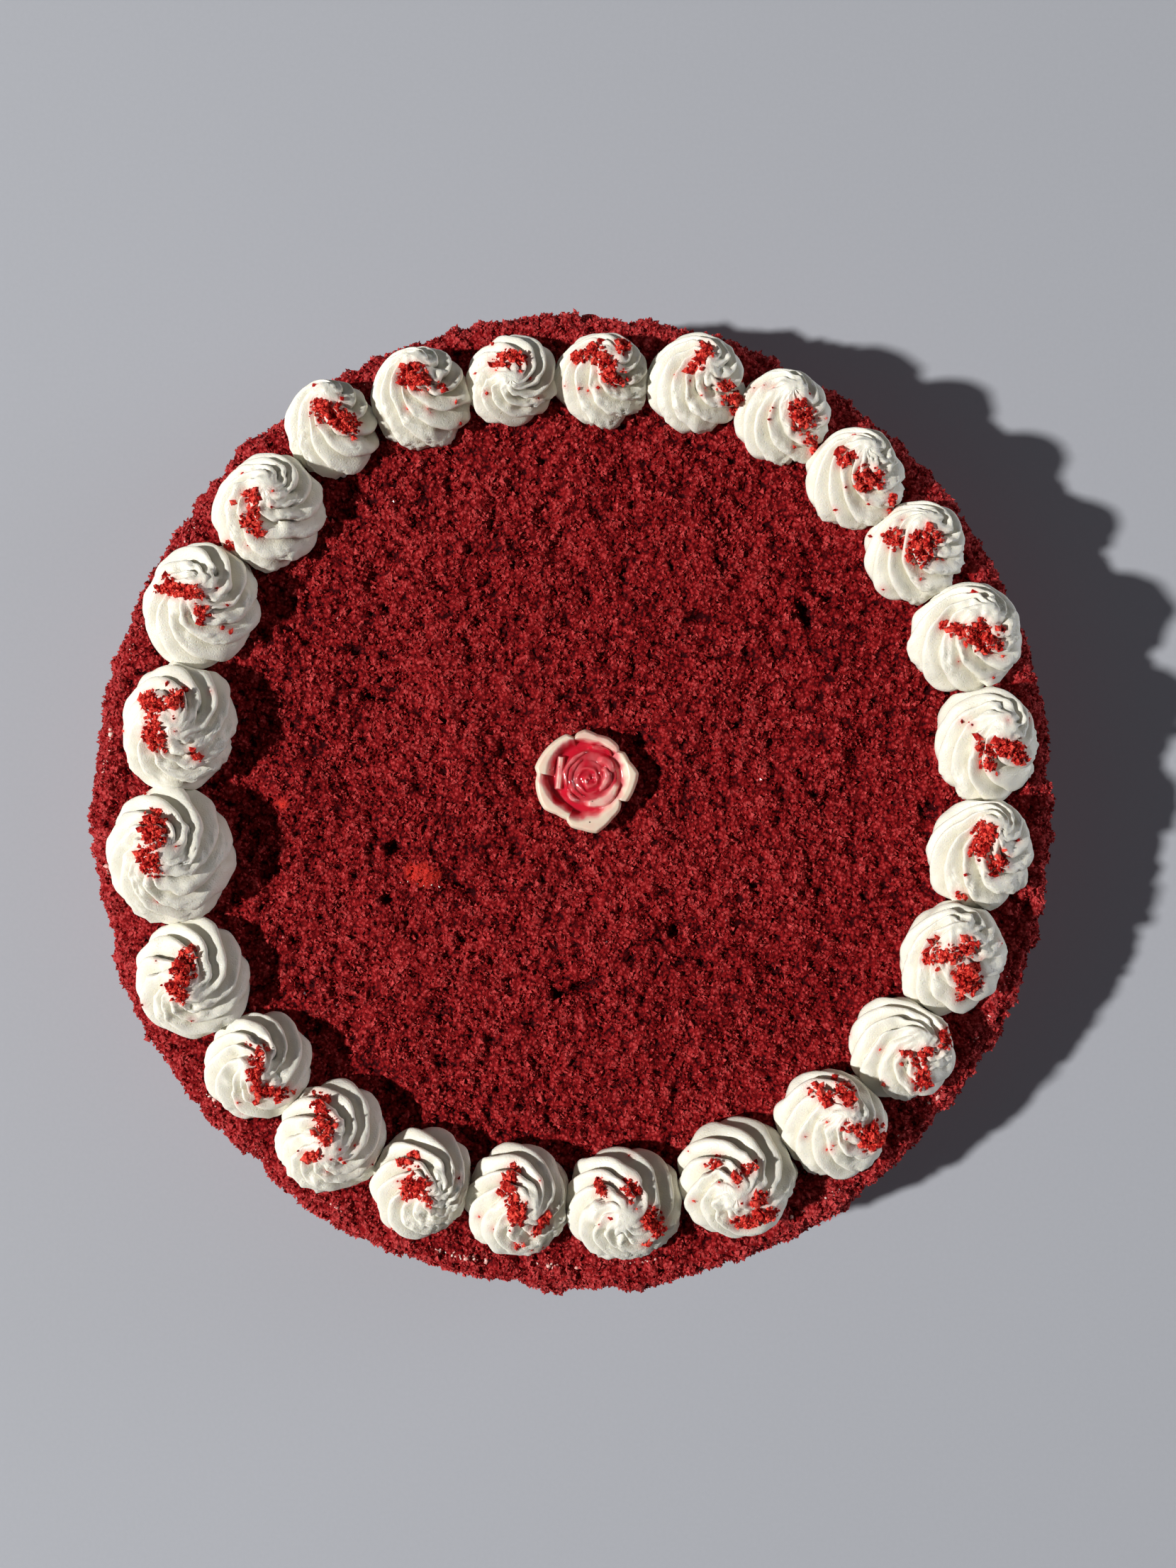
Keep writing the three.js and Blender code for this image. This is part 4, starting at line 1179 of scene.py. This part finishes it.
def place_glints():
    """Small glossy drops round the edge and by the wet spot: pink icing showing through the crumbs, and
    whiter drops that are painted highlights.
    """
    draw = np.random.default_rng(7)
    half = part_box("cake")[1].x / MM
    tree = mesh_tree(bpy.data.objects["crumb_coat"].data)
    spots = []
    for degrees, inside, reach, count in GLINTS:
        angle = math.radians(degrees) + draw.normal(0, 0.5, count) * reach / half
        far = half - 2.5 - inside + draw.normal(0, 0.35, count)
        spots.append(np.stack([far * np.cos(angle), far * np.sin(angle)], -1))
    # A row of drops along the wet spot's lower edge, painted highlights on the syrup.
    x, y, length, width = WET_SPOTS[0]
    lower = np.linspace(-0.55, 0.5, 6) * length
    edge = np.stack([x + lower, y - 0.42 * width - 0.12 * lower], -1) + draw.normal(0, 0.25, (6, 2))
    spots.append(edge + shift())
    places, sizes = [], []
    for spot in np.concatenate(spots):
        landed = landed_on(tree, *spot)
        if landed is not None:
            drop = sizes_near(draw, 0.36, 0.4, 0.16, 0.8)
            places.append(np.array(landed) + [0, 0, 0.2 * drop])
            sizes.append(drop)
    made, faces, grain = grains(
        np.array(places), np.array(sizes), icosahedron(), draw, flat=0.6, uneven=0.6,
    )
    tone = draw.random(len(places)) ** 2
    make_piece("icing_glints", made, faces, "cream", glint_material(), rounded=True, tone=tone[grain])


# ---- Settings ----


def a_length(name, about, default_mm):
    return bpy.props.FloatProperty(
        name=name, description=about, default=default_mm * MM, unit="LENGTH", precision=5,
    )


def a_count(name, about, default):
    return bpy.props.IntProperty(name=name, description=about, default=default, min=1)


def a_share(name, about, default):
    return bpy.props.FloatProperty(name=name, description=about, default=default, subtype="FACTOR")


def a_colour(name, about, red, green, blue):
    return bpy.props.FloatVectorProperty(
        name=name, description=about, default=(red, green, blue, 1), size=4, subtype="COLOR",
        min=0, max=1,
    )


class CakeSizes(bpy.types.PropertyGroup):
    """Sizes of the crumbed cake."""

    gap: a_length("Gap", "Between the cake's top and what stands on it", 0.3)
    side_relief: a_length("Side relief", "How far the crumbs stand out at the side", 1.3)
    rim_rounding: a_length("Edge rounding", "Radius of the top edge", 4.5)
    top_rings: a_count("Rings", "Rings of points over the top", 132)
    clump_size: a_length("Clump size", "Across one clump of crumbs", 4.6)
    clump_height: a_length("Clump height", "How far the clumps stand out", 1.1)
    lump_size: a_length("Lump size", "Across one lump in a clump", 2.1)
    lump_height: a_length("Lump height", "How far the lumps stand out", 1.2)
    crumb_size: a_length("Crumb size", "Across a usual single crumb", 1.2)
    crumbs_on_top: a_count("Crumbs on top", "Single crumbs on the top", 48000)
    crumbs_on_side: a_count("Crumbs on side", "Single crumbs on the side", 31000)


class SwirlSizes(bpy.types.PropertyGroup):
    """Shape of the piped swirls."""

    ridge_columns: a_count("Columns", "Columns of points for each ridge", 15)
    swirl_rows: a_count("Rows", "Rows of points from foot to peak", 44)
    swirl_sunk: a_length("Sunk", "How far the foot sinks into the crumbs", 1.0)
    ridge_waver: a_share("Waver", "How far the ridges stray, in ridge widths", 0.2)
    ridge_skew: a_share("Skew", "Below 1, one flank of a ridge is steeper", 0.52)
    ridge_fullness: a_share("Fullness", "Below 1, crests are broad and valleys narrow", 0.95)
    valley_depth: a_length("Valley depth", "Depth of the valleys between ridges", 3.4)
    torn_height: a_length("Torn height", "How rough the torn parts of the cream are", 0.72)


class RoseSizes(bpy.types.PropertyGroup):
    """Fineness of the moulded rose."""

    rose_columns: a_count("Columns", "Points round the rose", 288)
    rose_rows: a_count("Rows", "Rings of points over the rose", 88)


class CakeFinish(bpy.types.PropertyGroup):
    """Colours of the cake."""

    # Painted shade in the gaps and pits between the crumbs.
    crumb_gap_shade: a_colour("Deep crumb", "Sponge in the gaps", 0.03, 0.0006, 0.002)
    crumb_red: a_colour("Crumb", "Most of the sponge", 0.28, 0.007, 0.009)
    # Partly painted highlight on the raised grains.
    crumb_bright_and_highlight: a_colour("Bright crumb", "The brightest grains", 0.6, 0.068, 0.07)
    syrup_red: a_colour("Syrup", "Soaked crumbs", 0.58, 0.03, 0.022)
    cream_white: a_colour("Cream", "Crests of the cream", 0.92, 0.9, 0.81)
    # Painted shade between the ridges, also used for random mottle.
    cream_shade_and_mottle: a_colour("Cream shade", "Valleys of the cream", 0.67, 0.64, 0.53)
    cream_stain: a_colour("Stained cream", "Cream round the crumbs", 0.85, 0.42, 0.38)
    rose_pale: a_colour("Rose rim", "Rims of the petals", 0.89, 0.74, 0.6)
    rose_pink: a_colour("Rose pink", "Between rim and hollow", 0.82, 0.27, 0.28)
    rose_red: a_colour("Rose red", "Hollows of the rose", 0.6, 0.012, 0.034)
    rose_speck: a_colour("Rose speck", "Small dark specks on the rose", 0.08, 0.03, 0.02)
    floor: a_colour("Floor", "The floor that the cake stands on", 0.44, 0.462, 0.52)


# ---- Operators ----


class BuildCoat(bpy.types.Operator):
    """Cover the cake with crumbs"""

    bl_idname = "cake.coat"
    bl_label = "Crumbed cake"

    def execute(self, context):
        size = context.scene.cake_sizes
        coat = crumb_coat(size)
        height = coat["points"][:, 2]
        on_top = height > TOP_FROM
        on_side = (height <= TOP_FROM) & (height > 0.6)
        loose_crumbs("loose_crumbs_top", coat, on_top, size.crumbs_on_top, 81, size)
        loose_crumbs("loose_crumbs_side", coat, on_side, size.crumbs_on_side, 91, size)
        return {"FINISHED"}


class BuildSwirls(bpy.types.Operator):
    """Pipe the cream swirls and sprinkle crumbs on them"""

    bl_idname = "cake.swirls"
    bl_label = "Cream swirls"

    def execute(self, context):
        pipe_swirls(context.scene.swirl_sizes)
        return {"FINISHED"}


class BuildGlints(bpy.types.Operator):
    """Let drops of icing and painted highlights show round the edge"""

    bl_idname = "cake.glints"
    bl_label = "Icing glints"

    def execute(self, context):
        place_glints()
        return {"FINISHED"}


class BuildRose(bpy.types.Operator):
    """Mould the rose in the middle"""

    bl_idname = "cake.rose"
    bl_label = "Moulded rose"

    def execute(self, context):
        mould_rose(context.scene.rose_sizes)
        return {"FINISHED"}


class BuildStage(bpy.types.Operator):
    """Set up the floor, the lights and the camera"""

    bl_idname = "cake.stage"
    bl_label = "Floor, lights and camera"

    def execute(self, context):
        build_floor(context)
        build_lights(context)
        build_camera(context)
        return {"FINISHED"}


def build_floor(context):
    made, tree, shader = new_material("studio_floor")
    weave = add(tree, "TexNoise", {
        "Vector": add(tree, "TexCoord").outputs["Object"], "Scale": 1 / (1.2 * MM), "Detail": 3.0,
    }).outputs["Fac"]
    tone = context.scene.cake_finish.floor
    darker = [c * 0.94 for c in tone[:3]] + [1]
    plug(tree, shader, {"Base Color": blend(tree, weave, darker, tone), "Roughness": 0.85})
    mesh = bpy.data.meshes.new("studio_floor")
    corners = [(x * FLOOR_REACH, y * FLOOR_REACH, 0) for x, y in ((-1, -1), (1, -1), (1, 1), (-1, 1))]
    mesh.from_pydata(corners, [], [(0, 1, 2, 3)])
    mesh.materials.append(made)
    new_object("studio_floor", mesh)


def soft_light(name, azimuth, elevation, distance, width, power, tint):
    """A round light that faces the cake."""
    lamp = bpy.data.lights.new(name, "AREA")
    lamp.shape = "DISK"
    lamp.size = width
    lamp.energy = power
    lamp.color = tint
    light = new_object(name, lamp)
    azimuth, elevation = math.radians(azimuth), math.radians(elevation)
    flat = distance * math.cos(elevation)
    light.location = (flat * math.cos(azimuth), flat * math.sin(azimuth), distance * math.sin(elevation))
    light.rotation_euler = (AIM - light.location).to_track_quat("-Z", "Y").to_euler()


def build_lights(context):
    for name, settings in LIGHTS.items():
        soft_light(name, *settings)
    world = bpy.data.worlds.new("studio_air")
    world.use_nodes = True
    tree = world.node_tree
    tree.nodes.clear()
    air = add(tree, "Background", enumerate(AIR)).outputs[0]
    backdrop = add(tree, "Background", enumerate(BACKDROP)).outputs[0]
    seen = add(tree, "LightPath").outputs["Is Camera Ray"]
    both = add(tree, "MixShader", {0: seen, 1: air, 2: backdrop})
    add(tree, "OutputWorld", {0: both.outputs[0]})
    context.scene.world = world
    context.scene.view_settings.view_transform = "Standard"


def build_camera(context):
    lens = bpy.data.cameras.new("camera")
    lens.lens = CAMERA_LENS
    camera = new_object("camera", lens)
    x, y, z = CAMERA_PLACE
    x, y = shift() + [x, y]
    camera.location = (x * MM, y * MM, z * MM)
    context.scene.camera = camera


class CakePanel(bpy.types.Panel):
    """Lists the cake's pieces in the sidebar"""

    bl_label = "Red velvet cake"
    bl_idname = "VIEW3D_PT_red_velvet_cake"
    bl_space_type = "VIEW_3D"
    bl_region_type = "UI"
    bl_category = "Cake"

    def draw(self, context):
        for operator in OPERATORS:
            self.layout.operator(operator.bl_idname)
        for group in SETTINGS:
            settings = getattr(context.scene, group)
            column = self.layout.column()
            for key in settings.__annotations__:
                column.prop(settings, key)


OPERATORS = (BuildStage, BuildCoat, BuildGlints, BuildSwirls, BuildRose)
SETTINGS = {
    "cake_sizes": CakeSizes,
    "swirl_sizes": SwirlSizes,
    "rose_sizes": RoseSizes,
    "cake_finish": CakeFinish,
}


def register():
    for group, kind in SETTINGS.items():
        bpy.utils.register_class(kind)
        setattr(bpy.types.Scene, group, bpy.props.PointerProperty(type=kind))
    for kind in (*OPERATORS, CakePanel):
        bpy.utils.register_class(kind)


def unregister():
    for kind in (CakePanel, *reversed(OPERATORS)):
        bpy.utils.unregister_class(kind)
    for group, kind in SETTINGS.items():
        delattr(bpy.types.Scene, group)
        bpy.utils.unregister_class(kind)


def main():
    register()
    bpy.ops.cake.stage()
    bpy.ops.cake.coat()
    bpy.ops.cake.glints()
    bpy.ops.cake.swirls()
    bpy.ops.cake.rose()


if __name__ == "__main__":
    main()
